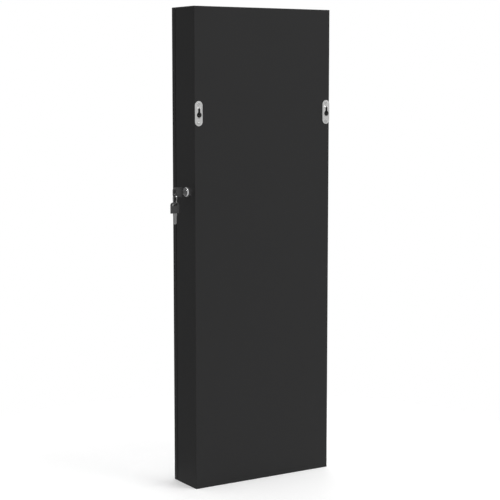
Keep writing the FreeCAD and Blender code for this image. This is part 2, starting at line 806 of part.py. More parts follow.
def rod_parts():
    """The bracelet rod across its bay, held in a socket at each end."""
    z = f"{shelf_levels()[1]} - rod_drop"
    bar = rod("bracelet_rod", "-inner_half + shelf_play", "rod_y", z, "rod_radius",
              "2 * (inner_half - shelf_play)", "+x")
    node(bar, "bracelet_rod")
    blank = rod("socket_blank", 0, 0, 0, "socket_radius", "socket_length", "+x")
    bore = rod("socket_bore", f"-{MARGIN}", 0, 0, "rod_radius + rod_play", f"socket_length + 2 * {MARGIN}",
               "+x")
    socket = cut("socket", blank, bore)
    spots = [("-inner_half", "rod_y", z, None), ("inner_half - socket_length", "rod_y", z, None)]
    node(copies("rod_sockets", socket, spots), "rod_sockets")


def lock_parts():
    """The cam lock in the right side: housing, nut, and the plug with its hooked cam and screw."""
    bore = "plug_radius + plug_play"
    floor = "flange_height - recess_depth"
    housing = turned("lock_housing", [
        ("-barrel_end", bore),
        ("-barrel_end", "barrel_radius"),
        ("0", "barrel_radius"),
        ("0", "flange_radius"),
        ("flange_height - flange_bevel", "flange_radius"),
        ("flange_height", "flange_radius - flange_bevel"),
        ("flange_height", "recess_radius"),
        (floor, "recess_radius"),
        (floor, bore),
    ], axis="H_Axis")
    place(housing, "half_width", "lock_y", "lock_z")
    node(housing, "lock_housing")

    prism = doc.addObject("Part::Prism", "nut_blank")
    prism.Polygon = 6
    bind(prism, Circumradius="nut_radius", Height="nut_height")
    place(prism, "inner_half - nut_height", "lock_y", "lock_z", ALONG["+x"])
    hole = rod("nut_hole", f"inner_half - nut_height - {MARGIN}", "lock_y", "lock_z", "barrel_radius",
               f"nut_height + 2 * {MARGIN}", "+x")
    node(cut("lock_nut", prism, hole), "lock_nut")

    shoulder = "barrel_end + plug_end_play"
    face = "flange_height - plug_head_sink"
    seat = f"{floor} + cam_play"
    spindle = turned("plug_spindle", [
        (f"-({shoulder})", "0"),
        (f"-({shoulder})", "plug_radius"),
        (seat, "plug_radius"),
        (seat, "plug_head_radius"),
        (face, "plug_head_radius"),
        (face, "0"),
    ], axis="H_Axis")
    place(spindle, "half_width", "lock_y", "lock_z")
    tail_length = "cam_sheet - cam_play"
    tail = box("plug_tail", f"half_width - ({shoulder}) - ({tail_length})", "lock_y - tail_side / 2",
               "lock_z - tail_side / 2", tail_length, "tail_side", "tail_side")
    way = "blade_width + 2 * keyway_play"
    slot = "blade_sheet + 2 * keyway_play"
    deep = "blade_length - key_gap + keyway_floor"
    keyway = box("keyway", f"half_width + flange_height - ({deep})", f"lock_y - ({slot}) / 2",
                 f"lock_z - ({way}) / 2", f"{deep} + {MARGIN}", slot, way)
    cam_face = "half_width - cam_end"
    fixing = turned("cam_fixing", [
        ("-cam_screw_height", "0"),
        ("-cam_screw_height", f"cam_screw_head * {HEAD_CROWN}"),
        (f"-cam_screw_height * {HEAD_RIM}", "cam_screw_head"),
        ("0", "cam_screw_head"),
        ("0", "cam_screw_radius"),
        ("cam_screw_length", "cam_screw_radius"),
        ("cam_screw_length", "0"),
    ], axis="H_Axis")
    place(fixing, cam_face, "lock_y", "lock_z")
    node(fixing, "cam_screw")
    node(cut("lock_plug", fuse("plug_blank", spindle, tail), keyway, fixing), "lock_plug")

    arm = padded("cam_arm", "YZ_Plane", [
        ("-cam_width / 2", "0"),
        ("cam_width / 2", "0"),
        ("cam_width / 2", "cam_corner - cam_reach"),
        ("cam_width / 2 - cam_corner", "-cam_reach"),
        ("cam_corner - cam_width / 2", "-cam_reach"),
        ("-cam_width / 2", "cam_corner - cam_reach"),
    ], "cam_sheet")
    place(arm, cam_face, "lock_y", "lock_z")
    hub = rod("cam_hub", cam_face, "lock_y", "lock_z", "cam_hub_radius", "cam_sheet", "+x")
    square = "tail_side + 2 * cam_play"
    hole = box("cam_square", f"{cam_face} - {MARGIN}", f"lock_y - ({square}) / 2", f"lock_z - ({square}) / 2",
               f"cam_sheet + 2 * {MARGIN}", square, square)
    start = ALONG["+x"].multiply(Turn(V(0, 0, 1), -NOTCH_MOUTH))
    sector = rod("cam_notch_outer", f"{cam_face} - {MARGIN}", "lock_y", "lock_z", "hook_outer",
                 f"cam_sheet + 2 * {MARGIN}", "+x")
    sector.Angle = NOTCH_MOUTH + NOTCH_BACK
    place(sector, f"{cam_face} - {MARGIN}", "lock_y", "lock_z", start)
    core = rod("cam_notch_inner", f"{cam_face} - 2 * {MARGIN}", "lock_y", "lock_z", "hook_inner",
               f"cam_sheet + 4 * {MARGIN}", "+x")
    notch = cut("cam_notch", sector, core)
    node(cut("lock_cam", fuse("cam_blank", arm, hub), hole, notch), "lock_cam")


def keeper_parts():
    """The keeper on the back of the door: a bent bracket that holds a pin for the cam's hook."""
    screws = copies("keeper_screws", short_screw, [
        ("keeper_x + keeper_base / 2", "door_back + keeper_sheet",
         f"lock_z + {end} * keeper_screw_reach", ALONG["+y"]) for end in ENDS])
    base = box("keeper_foot", "keeper_x", "door_back", "lock_z - keeper_height / 2", "keeper_base",
               "keeper_sheet", "keeper_height")
    ear = box("keeper_web", "keeper_x", "door_back", "lock_z - keeper_ear / 2", "keeper_sheet",
              "keeper_y + keeper_rim - (door_back)", "keeper_ear")
    pin = rod("keeper_pin", "keeper_x", "keeper_y", "lock_z", "keeper_pin_radius", "keeper_base", "+x")
    node(cut("keeper_bracket", fuse("keeper_blank", base, ear), pin, screws), "keeper_bracket")
    node(pin, "keeper_pin")
    return node(screws, "keeper_screws")


def key_parts(prefix, x, z, turn):
    """A flat steel blade in a moulded bow, from where the two meet: the blade points down local -X."""
    half = "blade_width / 2"
    edge = [
        ("tang_length", "-shoulder_width / 2"),
        ("tang_length", "shoulder_width / 2"),
        ("-shoulder_length", "shoulder_width / 2"),
        ("-shoulder_length", half),
        ("blade_tip - blade_length", half),
        ("-blade_length", f"{half} - blade_tip"),
        ("-blade_length", f"blade_tip - {half}"),
        ("blade_tip - blade_length", f"-{half}"),
    ]
    for number, share in enumerate(KEY_CUTS, start=1):
        middle = f"blade_tip - blade_length + {number} * cut_pitch"
        floor = f"{share} * cut_depth - {half}"
        edge += [
            (f"{middle} - cut_pitch * {CUT_MOUTH}", f"-{half}"),
            (f"{middle} - cut_pitch * {CUT_FLOOR}", floor),
            (f"{middle} + cut_pitch * {CUT_FLOOR}", floor),
            (f"{middle} + cut_pitch * {CUT_MOUTH}", f"-{half}"),
        ]
    edge += [("-shoulder_length", f"-{half}"), ("-shoulder_length", "-shoulder_width / 2")]
    blade = padded(prefix + "key_blade", "XZ_Plane", edge, "blade_sheet", midplane=True)
    place(blade, x, "lock_y", z, turn)
    node(blade, prefix + "key_blade")

    body, slab = slab_body(prefix + "bow_blank", "bow_length", "bow_sheet", "bow_width")
    far, thick = value("bow_length"), value("bow_sheet")
    corners = rounded(body, slab, "bow_round", lambda p: near(p.x, far) and near(p.y, thick / 2))
    rounded(body, corners, "bow_edge", lambda p: near(p.y, 0) or near(p.y, thick))
    window = box(prefix + "bow_window", "slot_middle - bow_slot / 2", f"-bow_sheet / 2 - {MARGIN}",
                 "-bow_slot_length / 2", "bow_slot", f"bow_sheet + 2 * {MARGIN}", "bow_slot_length")
    place(body, 0, "-bow_sheet / 2", "-bow_width / 2")
    tang = padded(prefix + "bow_tang", "XZ_Plane", edge, "blade_sheet", midplane=True)
    bow = cut(prefix + "key_bow", body, window, tang)
    place(bow, x, "lock_y", z, turn)
    node(bow, prefix + "key_bow")


def ring_part():
    """The key ring, upright, through the key's slot and round the arm of its bow."""
    body = doc.addObject("PartDesign::Body", "key_ring")
    wire = body.newObject("PartDesign::AdditiveTorus", "wire")
    bind(wire, Radius1="ring_radius", Radius2="ring_wire")
    wire.Placement = FreeCAD.Placement(V(), ALONG["+x"])
    place(body, "ring_x", "lock_y", "ring_z", Turn(V(0, 0, 1), -value("ring_turn")))
    node(body, "key_ring")


def export():
    """Check every object and write each sub-part to its own file."""
    doc.recompute()
    for thing in doc.Objects:
        if "Invalid" in thing.State or "Error" in thing.State:
            raise RuntimeError(f"{thing.Name} failed: {thing.State}")
    for thing in nodes:
        shape = thing.Shape
        if shape.isNull() or not shape.isValid() or not shape.Solids:
            raise RuntimeError(f"{thing.Label} has no valid solid")
    os.makedirs("parts", exist_ok=True)
    for thing in nodes:
        thing.Shape.exportStep(os.path.join("parts", thing.Label + ".step"))
    print(len(nodes), "sub-parts,", sum(len(thing.Shape.Solids) for thing in nodes), "solids")


bent_hook = hook("bent_hook")
plate_screws, plate_pockets = hanger_parts()
case_hinge_screws, door_hinge_screws = hinge_parts()
case_parts(plate_screws, plate_pockets, case_hinge_screws)
door_parts(door_hinge_screws, keeper_parts())
earring_parts()
necklace_parts()
cushion_parts()
rod_parts()
lock_parts()
key_parts("", "key_x", "lock_z", None)
ring_part()
key_parts("spare_", "ring_x", "spare_z", Turn(V(0, 1, 0), -90))
export()
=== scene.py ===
"""The dressed look of a wall-hung jewelry mirror cabinet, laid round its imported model.

Metres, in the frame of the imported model: +X is right seen from the front, the mirror faces -Y, the wall is
at +Y and +Z is up. The origin is midway between the two hanger keyholes, on the plane of the wall.
"""

import json
import math

import bmesh
import bpy
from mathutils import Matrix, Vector, noise


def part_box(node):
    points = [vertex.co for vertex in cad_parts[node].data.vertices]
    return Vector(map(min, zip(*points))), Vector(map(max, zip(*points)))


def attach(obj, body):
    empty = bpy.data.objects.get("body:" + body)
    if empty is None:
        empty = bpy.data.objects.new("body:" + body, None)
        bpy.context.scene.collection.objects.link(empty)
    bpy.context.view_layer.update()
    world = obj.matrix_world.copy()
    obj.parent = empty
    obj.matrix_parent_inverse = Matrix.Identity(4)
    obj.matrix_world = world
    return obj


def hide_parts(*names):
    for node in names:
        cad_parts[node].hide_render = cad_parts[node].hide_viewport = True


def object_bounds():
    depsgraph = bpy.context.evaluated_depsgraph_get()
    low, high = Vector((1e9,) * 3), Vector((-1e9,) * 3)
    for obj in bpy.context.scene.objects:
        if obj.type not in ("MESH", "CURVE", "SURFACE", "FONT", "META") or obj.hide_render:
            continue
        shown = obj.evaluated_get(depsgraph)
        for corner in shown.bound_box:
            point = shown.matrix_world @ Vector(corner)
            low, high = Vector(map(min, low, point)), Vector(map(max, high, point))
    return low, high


bl_info = {
    "name": "Jewelry Mirror Cabinet",
    "version": (1, 0, 0),
    "blender": (4, 5, 0),
    "location": "View3D > Sidebar > Cabinet",
    "description": "Finishes, fittings, keys, studio and camera of a wall-hung jewelry mirror cabinet",
    "category": "Object",
}

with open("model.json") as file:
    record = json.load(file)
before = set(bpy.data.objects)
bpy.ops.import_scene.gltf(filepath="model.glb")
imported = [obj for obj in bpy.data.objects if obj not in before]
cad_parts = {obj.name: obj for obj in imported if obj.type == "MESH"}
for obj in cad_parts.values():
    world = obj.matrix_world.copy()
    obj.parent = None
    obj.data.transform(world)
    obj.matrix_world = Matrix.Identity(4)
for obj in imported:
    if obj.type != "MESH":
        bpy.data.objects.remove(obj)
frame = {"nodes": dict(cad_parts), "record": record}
CAD_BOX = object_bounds()

MM = 0.001
WELD = 1e-6  # points nearer to each other than this are one
X, Y, Z = Vector((1, 0, 0)), Vector((0, 1, 0)), Vector((0, 0, 1))
WHITE = (1, 1, 1, 1)
SMOOTH_UNDER = math.radians(32)  # faces that meet at less than this are shaded as one
TURN_STEPS = 64  # segments of a turned part
ARC_STEPS = 6  # segments of a quarter arc
RAY_STEPS = 48  # even rays from a hole to the outline of its plate
RAY_GAP = 0.004  # rays nearer to each other than this, in radians, are one
PARALLEL = 1e-12  # a ray whose cross with an edge is less than this runs along it
EDGE_SLACK = 1e-9  # how far past an edge's ends a ray may still meet it, as a share of the edge
PLATE_MIDDLE = 8 * MM  # a hanger plate's middle from its outer edge
POCKET_HALF, PLATE_REACH, POCKET_DEEP = 6 * MM, 20 * MM, 10 * MM  # where the milled pockets lie
LACQUERED = 0.1 * MM  # how deep the board's lacquered face goes
SMALL_EDGE = 0.25 * MM  # rounding of the strike plate and the magnet
SENSOR = 36  # width of the camera's sensor in millimetres


def box_mm(node):
    """A node's lowest and highest corners, in millimetres."""
    low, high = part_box(node)
    return Vector(low) / MM, Vector(high) / MM


def in_mm(settings, *names):
    """Lengths among the settings, in millimetres."""
    return [getattr(settings, name) / MM for name in names]


# ---- settings


def tint(name, description, default):
    return bpy.props.FloatVectorProperty(
        name=name, description=description, default=default, subtype="COLOR", size=3, min=0, max=1)


def share(name, description, default):
    return bpy.props.FloatProperty(name=name, description=description, default=default, min=0, max=1,
                                   subtype="FACTOR")


def length(name, description, default):
    return bpy.props.FloatProperty(name=name, description=description, default=default, subtype="DISTANCE",
                                   unit="LENGTH", precision=4)


def angle(name, description, degrees):
    return bpy.props.FloatProperty(name=name, description=description, default=math.radians(degrees),
                                   subtype="ANGLE", unit="ROTATION")


def power(name, description, default):
    return bpy.props.FloatProperty(name=name, description=description, default=default, min=0, unit="POWER")


class CabinetFinishes(bpy.types.PropertyGroup):
    """Colours and gloss of the cabinet's finishes."""

    lacquer: tint("Lacquer", "Satin black lacquer of the case and the door", (0.0118, 0.0118, 0.0122))
    # The milled board's colour is partly painted light: it is lighter than the board, so that the pockets
    # behind the keyholes read as lit where their shade falls.
    core: tint("Board core", "Dark fibre board where it is milled and not lacquered", (0.13, 0.13, 0.13))
    lacquer_gloss: share("Lacquer roughness", "Roughness of the satin lacquer", 0.46)
    board: tint("Board", "Matt black foil of the shelves and rails", (0.016, 0.016, 0.0168))
    hardboard: tint("Hardboard", "Dark hardboard behind the mirror", (0.03, 0.0275, 0.0255))
    beech: tint("Beech", "Bare beech of the dowels", (0.55, 0.38, 0.22))
    flock: tint("Flock", "Short flock of the linings and the ring cushion", (0.014, 0.014, 0.016))
    glass: tint("Mirror", "Silvering behind the mirror glass", (0.86, 0.88, 0.885))
    nickel: tint("Nickel", "Satin nickel of the hanger plates", (0.495, 0.495, 0.49))
    hinge: tint("Hinge steel", "Nickel-plated rolled steel of the hinges", (0.52, 0.52, 0.51))
    screw: tint("Screws", "Plated steel of the screws and pins", (0.46, 0.46, 0.46))
    zinc: tint("Zinc", "Bright zinc plate of the cam and the keeper", (0.47, 0.49, 0.52))
    polish: tint("Polished hooks", "Polished nickel of the hooks and the rod", (0.66, 0.65, 0.63))
    chrome: tint("Chrome", "Chrome plate of the lock's head", (0.52, 0.52, 0.525))
    plug: tint("Lock plug", "Die-cast metal of the lock's plug", (0.36, 0.36, 0.365))
    key_steel: tint("Key blades", "Milled steel of the key blades", (0.21, 0.21, 0.21))
    ring_steel: tint("Key ring", "Spring steel of the key ring", (0.27, 0.27, 0.27))
    key_plastic: tint("Key bows", "Moulded plastic of the key bows", (0.038, 0.038, 0.039))
    plastic: tint("Plastic", "Moulded plastic of the catch and the sockets", (0.024, 0.024, 0.025))
    magnet: tint("Magnet", "Sintered magnet of the catch", (0.06, 0.058, 0.056))
    rubber: tint("Bumpers", "Soft rubber of the door's bumpers", (0.03, 0.03, 0.03))
    dust: tint("Dust", "Dust that has settled on upper faces", (0.11, 0.105, 0.1))


class CabinetFittings(bpy.types.PropertyGroup):
    """Sizes of the small pressed, turned and moulded parts."""

    plate_low: length("Plate foot", "Middle of a hanger plate's lower end, from the keyhole", -12.5 * MM)
    plate_high: length("Plate head", "Middle of a hanger plate's upper end, from the keyhole", 17.5 * MM)
    emboss_half: length("Emboss half width", "Half width of the raised part of a hanger plate", 6.7 * MM)
    emboss_high: length("Emboss head", "Middle of the raised part's upper end", 7.4 * MM)
    press_slope: length("Press slope", "Width of the slope round the raised part", 1.3 * MM)
    sheet: length("Plate sheet", "Thickness of the hanger plates", 1 * MM)
    keyhole: length("Keyhole radius", "Radius of the keyhole's round part", 5 * MM)
    keyslot: length("Keyslot radius", "Half width of the keyhole's slot", 2.1 * MM)
    keyslot_high: length("Keyslot head", "Middle of the slot's upper end", 10.3 * MM)
    recess: share("Cross recess", "Reach of a screw's cross recess, as a share of its head", 0.62)
    bow_corner: length("Bow corner", "Corner radius at the far end of a key bow", 5 * MM)
    bow_edge: length("Bow edge", "Rounding of a key bow's edges", 0.7 * MM)
    ring_band: length("Ring band", "Radial width of the key ring's wire", 1.5 * MM)
    ring_layer: length("Ring layer", "Thickness of one turn of the key ring's wire", 0.78 * MM)
    ring_turn: angle("Ring turn", "How far the key ring hangs turned about the upright", -8)
    edge: length("Eased edge", "Rounding of the door frame's, shelves' and rails' edges", 0.5 * MM)
    joint: length("Case edge", "Rounding of the case panels' edges, which shows as joints", 0.2 * MM)


class CabinetStudio(bpy.types.PropertyGroup):
    """Camera, lamps and surroundings."""

    eye: bpy.props.FloatVectorProperty(
        name="Camera place", description="Where the camera stands", default=(1.45268, 2.26305, 0.0604),
        subtype="TRANSLATION", unit="LENGTH", size=3)
    heading: angle("Camera heading", "Turn of the camera's view from -Y towards +X", -32.111)
    dip: angle("Camera dip", "How far the camera looks down", 6.74)
    lens: bpy.props.FloatProperty(name="Lens", description="Focal length on a 36 mm sensor", default=102.474,
                                  min=1, unit="CAMERA")
    ambient: bpy.props.FloatProperty(name="Ambient", description="Light from all round", default=0.74, min=0)
    shade: bpy.props.FloatProperty(name="Dark side", description="Light of the dark side in reflections",
                                   default=0.2, min=0)
    key_power: power("Key lamp", "Power of the lamp behind the cabinet", 16)
    side_power: power("Side lamp", "Power of the lamp on the hinge side", 9)
    fill_power: power("Fill lamp", "Power of the lamp before the cabinet", 18)
    glint_power: power("Glint lamp", "Power of the small lamp beside the lock", 25)
    floor_size: length("Floor", "Width of the round floor, which fades away at its rim", 1.5)
    floor: tint("Floor", "Pale floor", (0.82, 0.82, 0.82))


# ---- shader nodes


class Graph:
    """Adds nodes to a shader tree and wires them."""

    def __init__(self, tree):
        self.tree = tree

    def add(self, kind, inputs=None, **settings):
        node = self.tree.nodes.new("ShaderNode" + kind)
        for name, value in settings.items():
            setattr(node, name, value)
        return self.fill(node, inputs or {})

    def fill(self, node, inputs):
        for name, value in inputs.items():
            self.feed(node.inputs[name], value)
        return node

    def feed(self, socket, value):
        if isinstance(value, bpy.types.NodeSocket):
            self.tree.links.new(value, socket)
        elif socket.type == "RGBA" and len(value) == 3:
            socket.default_value = (*value, 1)
        else:
            socket.default_value = value

    def math(self, operation, a, b=0.0, clamp=False):
        node = self.add("Math", {0: a, 1: b}, operation=operation, use_clamp=clamp)
        return node.outputs[0]

    def remap(self, value, low, high, to_low, to_high, smooth=False):
        node = self.add("MapRange", {"Value": value, "From Min": low, "From Max": high, "To Min": to_low,
                                     "To Max": to_high},
                        interpolation_type="SMOOTHSTEP" if smooth else "LINEAR")
        return node.outputs[0]

    def mix(self, factor, a, b):
        node = self.add("Mix", {0: factor, 6: a, 7: b}, data_type="RGBA")
        return node.outputs[2]

    def place(self):
        """Where a point lies in the cabinet's frame."""
        return self.add("TexCoord").outputs["Object"]

    def noise(self, place, scale, **more):
        return self.add("TexNoise", {"Vector": place, "Scale": scale, **more}).outputs[0]

    def blend(self, a, share_of_a, b, share_of_b):
        """The sum of shares of two values."""
        return self.math("ADD", self.math("MULTIPLY", a, share_of_a), self.math("MULTIPLY", b, share_of_b))

    def relief(self, height, strength, depth):
        """A normal raised by a height from 0 to 1, its depth in millimetres."""
        return self.add("Bump", {"Height": height, "Strength": strength, "Distance": depth * MM}).outputs[0]


def effect(name, inputs, outputs):
    """A new node group with named inputs and outputs, and the two ends of its graph."""
    tree = bpy.data.node_groups.new(name, "ShaderNodeTree")
    for label, kind, default in inputs:
        tree.interface.new_socket(name=label, in_out="INPUT", socket_type=kind).default_value = default
    for label in outputs:
        tree.interface.new_socket(name=label, in_out="OUTPUT", socket_type="NodeSocketFloat")
    graph = Graph(tree)
    entry = tree.nodes.new("NodeGroupInput")
    leave = tree.nodes.new("NodeGroupOutput")
    return graph, entry.outputs, leave.inputs


def surface_grain():
    """Slow clouds and fine grain over a surface, drawn out along an axis where it is brushed or rolled."""
    graph, given, out = effect(
        "surface_grain",
        [("Stretch", "NodeSocketVector", (1, 1, 1)), ("Cloud Scale", "NodeSocketFloat", 12),
         ("Grain Scale", "NodeSocketFloat", 900)],
        ["Cloud", "Grain"])
    drawn = graph.add("VectorMath", {0: graph.place(), 1: given["Stretch"]}, operation="MULTIPLY").outputs[0]
    cloud = graph.noise(drawn, given["Cloud Scale"], Detail=3)
    grain = graph.noise(drawn, given["Grain Scale"], Detail=2)
    graph.feed(out["Cloud"], graph.remap(cloud, 0.3, 0.7, 0, 1))
    graph.feed(out["Grain"], graph.remap(grain, 0.25, 0.75, 0, 1))
    return graph.tree


def settled_dust():
    """Dust on faces that look up, thicker in patches."""
    graph, given, out = effect("settled_dust", [("Amount", "NodeSocketFloat", 0.3)], ["Mask"])
    normal = graph.add("NewGeometry").outputs["Normal"]
    rise = graph.add("SeparateXYZ", {0: normal}).outputs["Z"]
    flat = graph.remap(rise, 0.5, 1, 0.04, 1, smooth=True)
    patches = graph.noise(graph.place(), 60, Detail=6, Roughness=0.7)
    settled = graph.math("MULTIPLY", flat, graph.remap(patches, 0.35, 0.75, 0.1, 1))
    graph.feed(out["Mask"], graph.math("MULTIPLY", settled, given["Amount"], clamp=True))
    return graph.tree


def flock_nap():
    """The nap of short flock: fibre tips, whose Shade is a painted highlight, and patches that are lighter and
    darker.
    """
    graph, given, out = effect("flock_nap", [("Fibre Scale", "NodeSocketFloat", 2600)], ["Shade", "Height"])
    place = graph.place()
    tips = graph.remap(graph.noise(place, given["Fibre Scale"], Detail=2), 0.3, 0.7, 0, 1)
    patch = graph.remap(graph.noise(place, 26, Detail=4, Distortion=0.6), 0.35, 0.65, 0, 1)
    # Shade is a painted highlight on the raised tips, with lighter and darker patches
    graph.feed(out["Shade"], graph.blend(tips, 0.6, patch, 0.4))
    graph.feed(out["Height"], tips)
    return graph.tree


EFFECTS = {"surface_grain": surface_grain, "settled_dust": settled_dust, "flock_nap": flock_nap}


def use_effect(graph, name, **inputs):
    """Place a shared effect in a material with its own values."""
    tree = bpy.data.node_groups.get(name) or EFFECTS[name]()
    node = graph.add("Group", node_tree=tree)
    for label, value in inputs.items():
        graph.feed(node.inputs[label.replace("_", " ")], value)
    return node.outputs


def new_finish(slot):
    """An empty material for a slot, with its graph and its shader."""
    material = bpy.data.materials.new(slot)
    material.use_nodes = True
    graph = Graph(material.node_tree)
    return material, graph, material.node_tree.nodes["Principled BSDF"]


def dim(colour, factor):
    return tuple(c * factor for c in colour)


def pockets_with_painted_light(graph):
    """A mask of the pockets behind the keyholes, where the board is milled after it is lacquered; its colour
    there is also painted lighter, as painted light in the pockets' shade.
    """
    low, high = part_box("hanger_plates")
    place = graph.add("SeparateXYZ", {0: graph.place()}).outputs
    across = graph.math("COMPARE", graph.math("ABSOLUTE", place["X"]), high[0] - PLATE_MIDDLE)
    across.node.inputs[2].default_value = POCKET_HALF
    down = graph.math("COMPARE", place["Z"], (low[2] + high[2]) / 2)
    down.node.inputs[2].default_value = PLATE_REACH
    deep = graph.math("LESS_THAN", place["Y"], low[1] - LACQUERED)
    shallow = graph.math("GREATER_THAN", place["Y"], low[1] - POCKET_DEEP)
    return graph.math("MULTIPLY", graph.math("MULTIPLY", across, down), graph.math("MULTIPLY", deep, shallow))


def dusted(graph, shade, amount):
    """A colour with settled dust over it."""
    film = use_effect(graph, "settled_dust", Amount=amount)
    return graph.mix(film["Mask"], shade, tuple(bpy.context.scene.cabinet_finishes.dust))


def grained(slot, colour, rough, swing, clouded, strength, depth, spread, **scales):
    """Slow clouds in a finish's colour, and fine grain in its relief and its gloss."""
    material, graph, shader = new_finish(slot)
    seen = use_effect(graph, "surface_grain", **scales)
    shade = graph.mix(seen["Cloud"], dim(colour, 1 - spread), dim(colour, 1 + spread))
    gloss = graph.blend(seen["Cloud"], clouded, seen["Grain"], 1 - clouded)
    graph.fill(shader, {
        "Roughness": graph.remap(gloss, 0, 1, rough * (1 - swing), min(1, rough * (1 + swing))),
        "Normal": graph.relief(seen["Grain"], strength, depth)})
    return material, graph, shader, shade


def coated(slot, colour, rough, specular=0.5, cloud=12, grain=900, depth=0.03, spread=0.12, dusty=0.0,
           bare_and_painted_light=None):
    """Paint, foil, plastic or rubber, with dust on it, and unlacquered board where pockets are milled in it,
    painted lighter there as painted light in their shade.
    """
    material, graph, shader, shade = grained(slot, colour, rough, swing=0.14, clouded=0.5, strength=0.35,
                                             depth=depth, spread=spread, Cloud_Scale=cloud, Grain_Scale=grain)
    if dusty:
        shade = dusted(graph, shade, dusty)
    if bare_and_painted_light:
        # the pockets show unlacquered board, also painted lighter as painted light in their shade
        shade = graph.mix(pockets_with_painted_light(graph), shade, tuple(bare_and_painted_light))
    graph.fill(shader, {"Base Color": shade, "Specular IOR Level": specular})
    return material


def metal(slot, colour, rough, cloud=40, grain=1500, stretch=(1, 1, 1), depth=0.02, spread=0.08):
    """Bare or plated metal, whose finishing marks are drawn out by the stretch."""
    material, graph, shader, shade = grained(slot, colour, rough, swing=0.25, clouded=0.6, strength=0.3,
                                             depth=depth, spread=spread, Stretch=stretch, Cloud_Scale=cloud,
                                             Grain_Scale=grain)
    graph.fill(shader, {"Base Color": shade, "Metallic": 1.0})
    return material


def flocked(slot, colour):
    """Short flock: a deep matt pile whose raised tips catch the light, and are also painted lighter in its
    colour as a painted highlight.
    """
    material, graph, shader = new_finish(slot)
    nap = use_effect(graph, "flock_nap", Fibre_Scale=2600)
    # the raised tips are painted lighter, a painted highlight; the patches are lighter and darker
    shade = graph.mix(nap["Shade"], dim(colour, 0.8), dim(colour, 1.4))
    graph.fill(shader, {
        "Base Color": dusted(graph, shade, 0.06), "Roughness": graph.remap(nap["Shade"], 0, 1, 0.82, 1),
        "Normal": graph.relief(nap["Height"], 0.8, 0.2), "Specular IOR Level": 0.12, "Sheen Weight": 0.16,
        "Sheen Roughness": 0.4})
    return material


def silvered(slot, colour):
    """Silvered glass, almost flat, with a breath of haze in patches."""
    material, graph, shader = new_finish(slot)
    cloud = use_effect(graph, "surface_grain", Cloud_Scale=3, Grain_Scale=70)["Cloud"]
    graph.fill(shader, {
        "Base Color": graph.mix(cloud, dim(colour, 0.985), colour), "Metallic": 1.0,
        "Roughness": graph.remap(cloud, 0, 1, 0.015, 0.03), "Normal": graph.relief(cloud, 0.05, 0.05)})
    return material


def bare_beech(slot, colour):
    """Bare beech with its grain along the dowel."""
    material, graph, shader = new_finish(slot)
    seen = use_effect(graph, "surface_grain", Stretch=(0.05, 1, 1), Cloud_Scale=350, Grain_Scale=2500)
    graph.fill(shader, {
        "Base Color": graph.mix(seen["Cloud"], dim(colour, 0.7), colour),
        "Roughness": graph.remap(seen["Grain"], 0, 1, 0.55, 0.75),
        "Normal": graph.relief(seen["Grain"], 0.4, 0.1)})
    return material


def finish(slot):
    """The material of one of the record's slots, made once."""
    made = bpy.data.materials.get(slot)
    if made and made.get("finished"):
        return made
    if made:
        made.name = slot + "_packed"
    look = bpy.context.scene.cabinet_finishes
    recipes = {
        "black_lacquer": (coated, look.lacquer, dict(
            rough=look.lacquer_gloss, specular=0.25, cloud=9, grain=420, depth=0.02, spread=0.05, dusty=0.05,
            bare_and_painted_light=look.core)),
        "black_board": (coated, look.board, dict(
            rough=0.58, specular=0.3, cloud=20, grain=1300, depth=0.05, spread=0.08, dusty=0.12)),
        "backing_board": (coated, look.hardboard, dict(
            rough=0.78, specular=0.25, cloud=160, grain=1100, depth=0.12, spread=0.3)),
        "beech": (bare_beech, look.beech, {}),
        "flocked_lining": (flocked, look.flock, {}),
        "flocked_foam": (flocked, dim(look.flock, 1.25), {}),
        "mirror_glass": (silvered, look.glass, {}),
        "nickel_plate": (metal, look.nickel, dict(
            rough=0.33, cloud=130, grain=2600, depth=0.01, spread=0.07)),
        "steel_hinge": (metal, look.hinge, dict(rough=0.28, stretch=(1, 1, 0.06), grain=4200)),
        "steel_screw": (metal, look.screw, dict(rough=0.3, cloud=300, grain=3000)),
        "zinc_plate": (metal, look.zinc, dict(rough=0.33, cloud=260, grain=1800, spread=0.16)),
        "polished_hook": (metal, look.polish, dict(rough=0.13, cloud=90, grain=1200, spread=0.04)),
        "lock_chrome": (metal, look.chrome, dict(
            rough=0.26, cloud=120, grain=900, depth=0.01, spread=0.03)),
        "plug_metal": (metal, look.plug, dict(rough=0.34, cloud=500, grain=2600, spread=0.12)),
        "key_steel": (metal, look.key_steel, dict(
            rough=0.36, cloud=160, grain=5200, depth=0.01, spread=0.06)),
        "ring_steel": (metal, look.ring_steel, dict(rough=0.3, cloud=400, grain=3200)),
        "key_plastic": (coated, look.key_plastic, dict(
            rough=0.44, specular=0.4, cloud=260, grain=5200, depth=0.06, spread=0.09)),
        "black_plastic": (coated, look.plastic, dict(
            rough=0.42, specular=0.45, cloud=120, grain=3600, depth=0.05, dusty=0.1)),
        "magnet": (coated, look.magnet, dict(rough=0.55, cloud=500, grain=2600, depth=0.08, spread=0.25)),
        "bumper_rubber": (coated, look.rubber, dict(rough=0.5, cloud=300, grain=2000)),
    }
    if slot not in recipes:
        raise RuntimeError(f"no finish is known for {slot}")
    maker, colour, values = recipes[slot]
    material = maker(slot, colour, **values)
    material.name = slot
    material["finished"] = True
    return material


SLOTS = {row["node"]: row["material_slot"] for row in frame["record"]["subparts"]}
BODIES = {node: body for body, nodes in frame["record"]["behaviour"]["bodies"].items() for node in nodes}


def dress(*nodes):
    """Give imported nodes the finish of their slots."""
    for name in nodes:
        thing = frame["nodes"][name]
        thing.data.materials.clear()
        thing.data.materials.append(finish(SLOTS[name]))


def ease(width, *nodes):
    """Round the sharp edges of packed boards a little."""
    for name in nodes:
        board = frame["nodes"][name]
        weld = board.modifiers.new("weld", "WELD")
        weld.merge_threshold = WELD
        bevel = board.modifiers.new("eased_edges", "BEVEL")
        bevel.width = width
        bevel.segments = 3
        bevel.limit_method = "ANGLE"
        bevel.angle_limit = SMOOTH_UNDER
        bevel.harden_normals = True


# ---- geometry


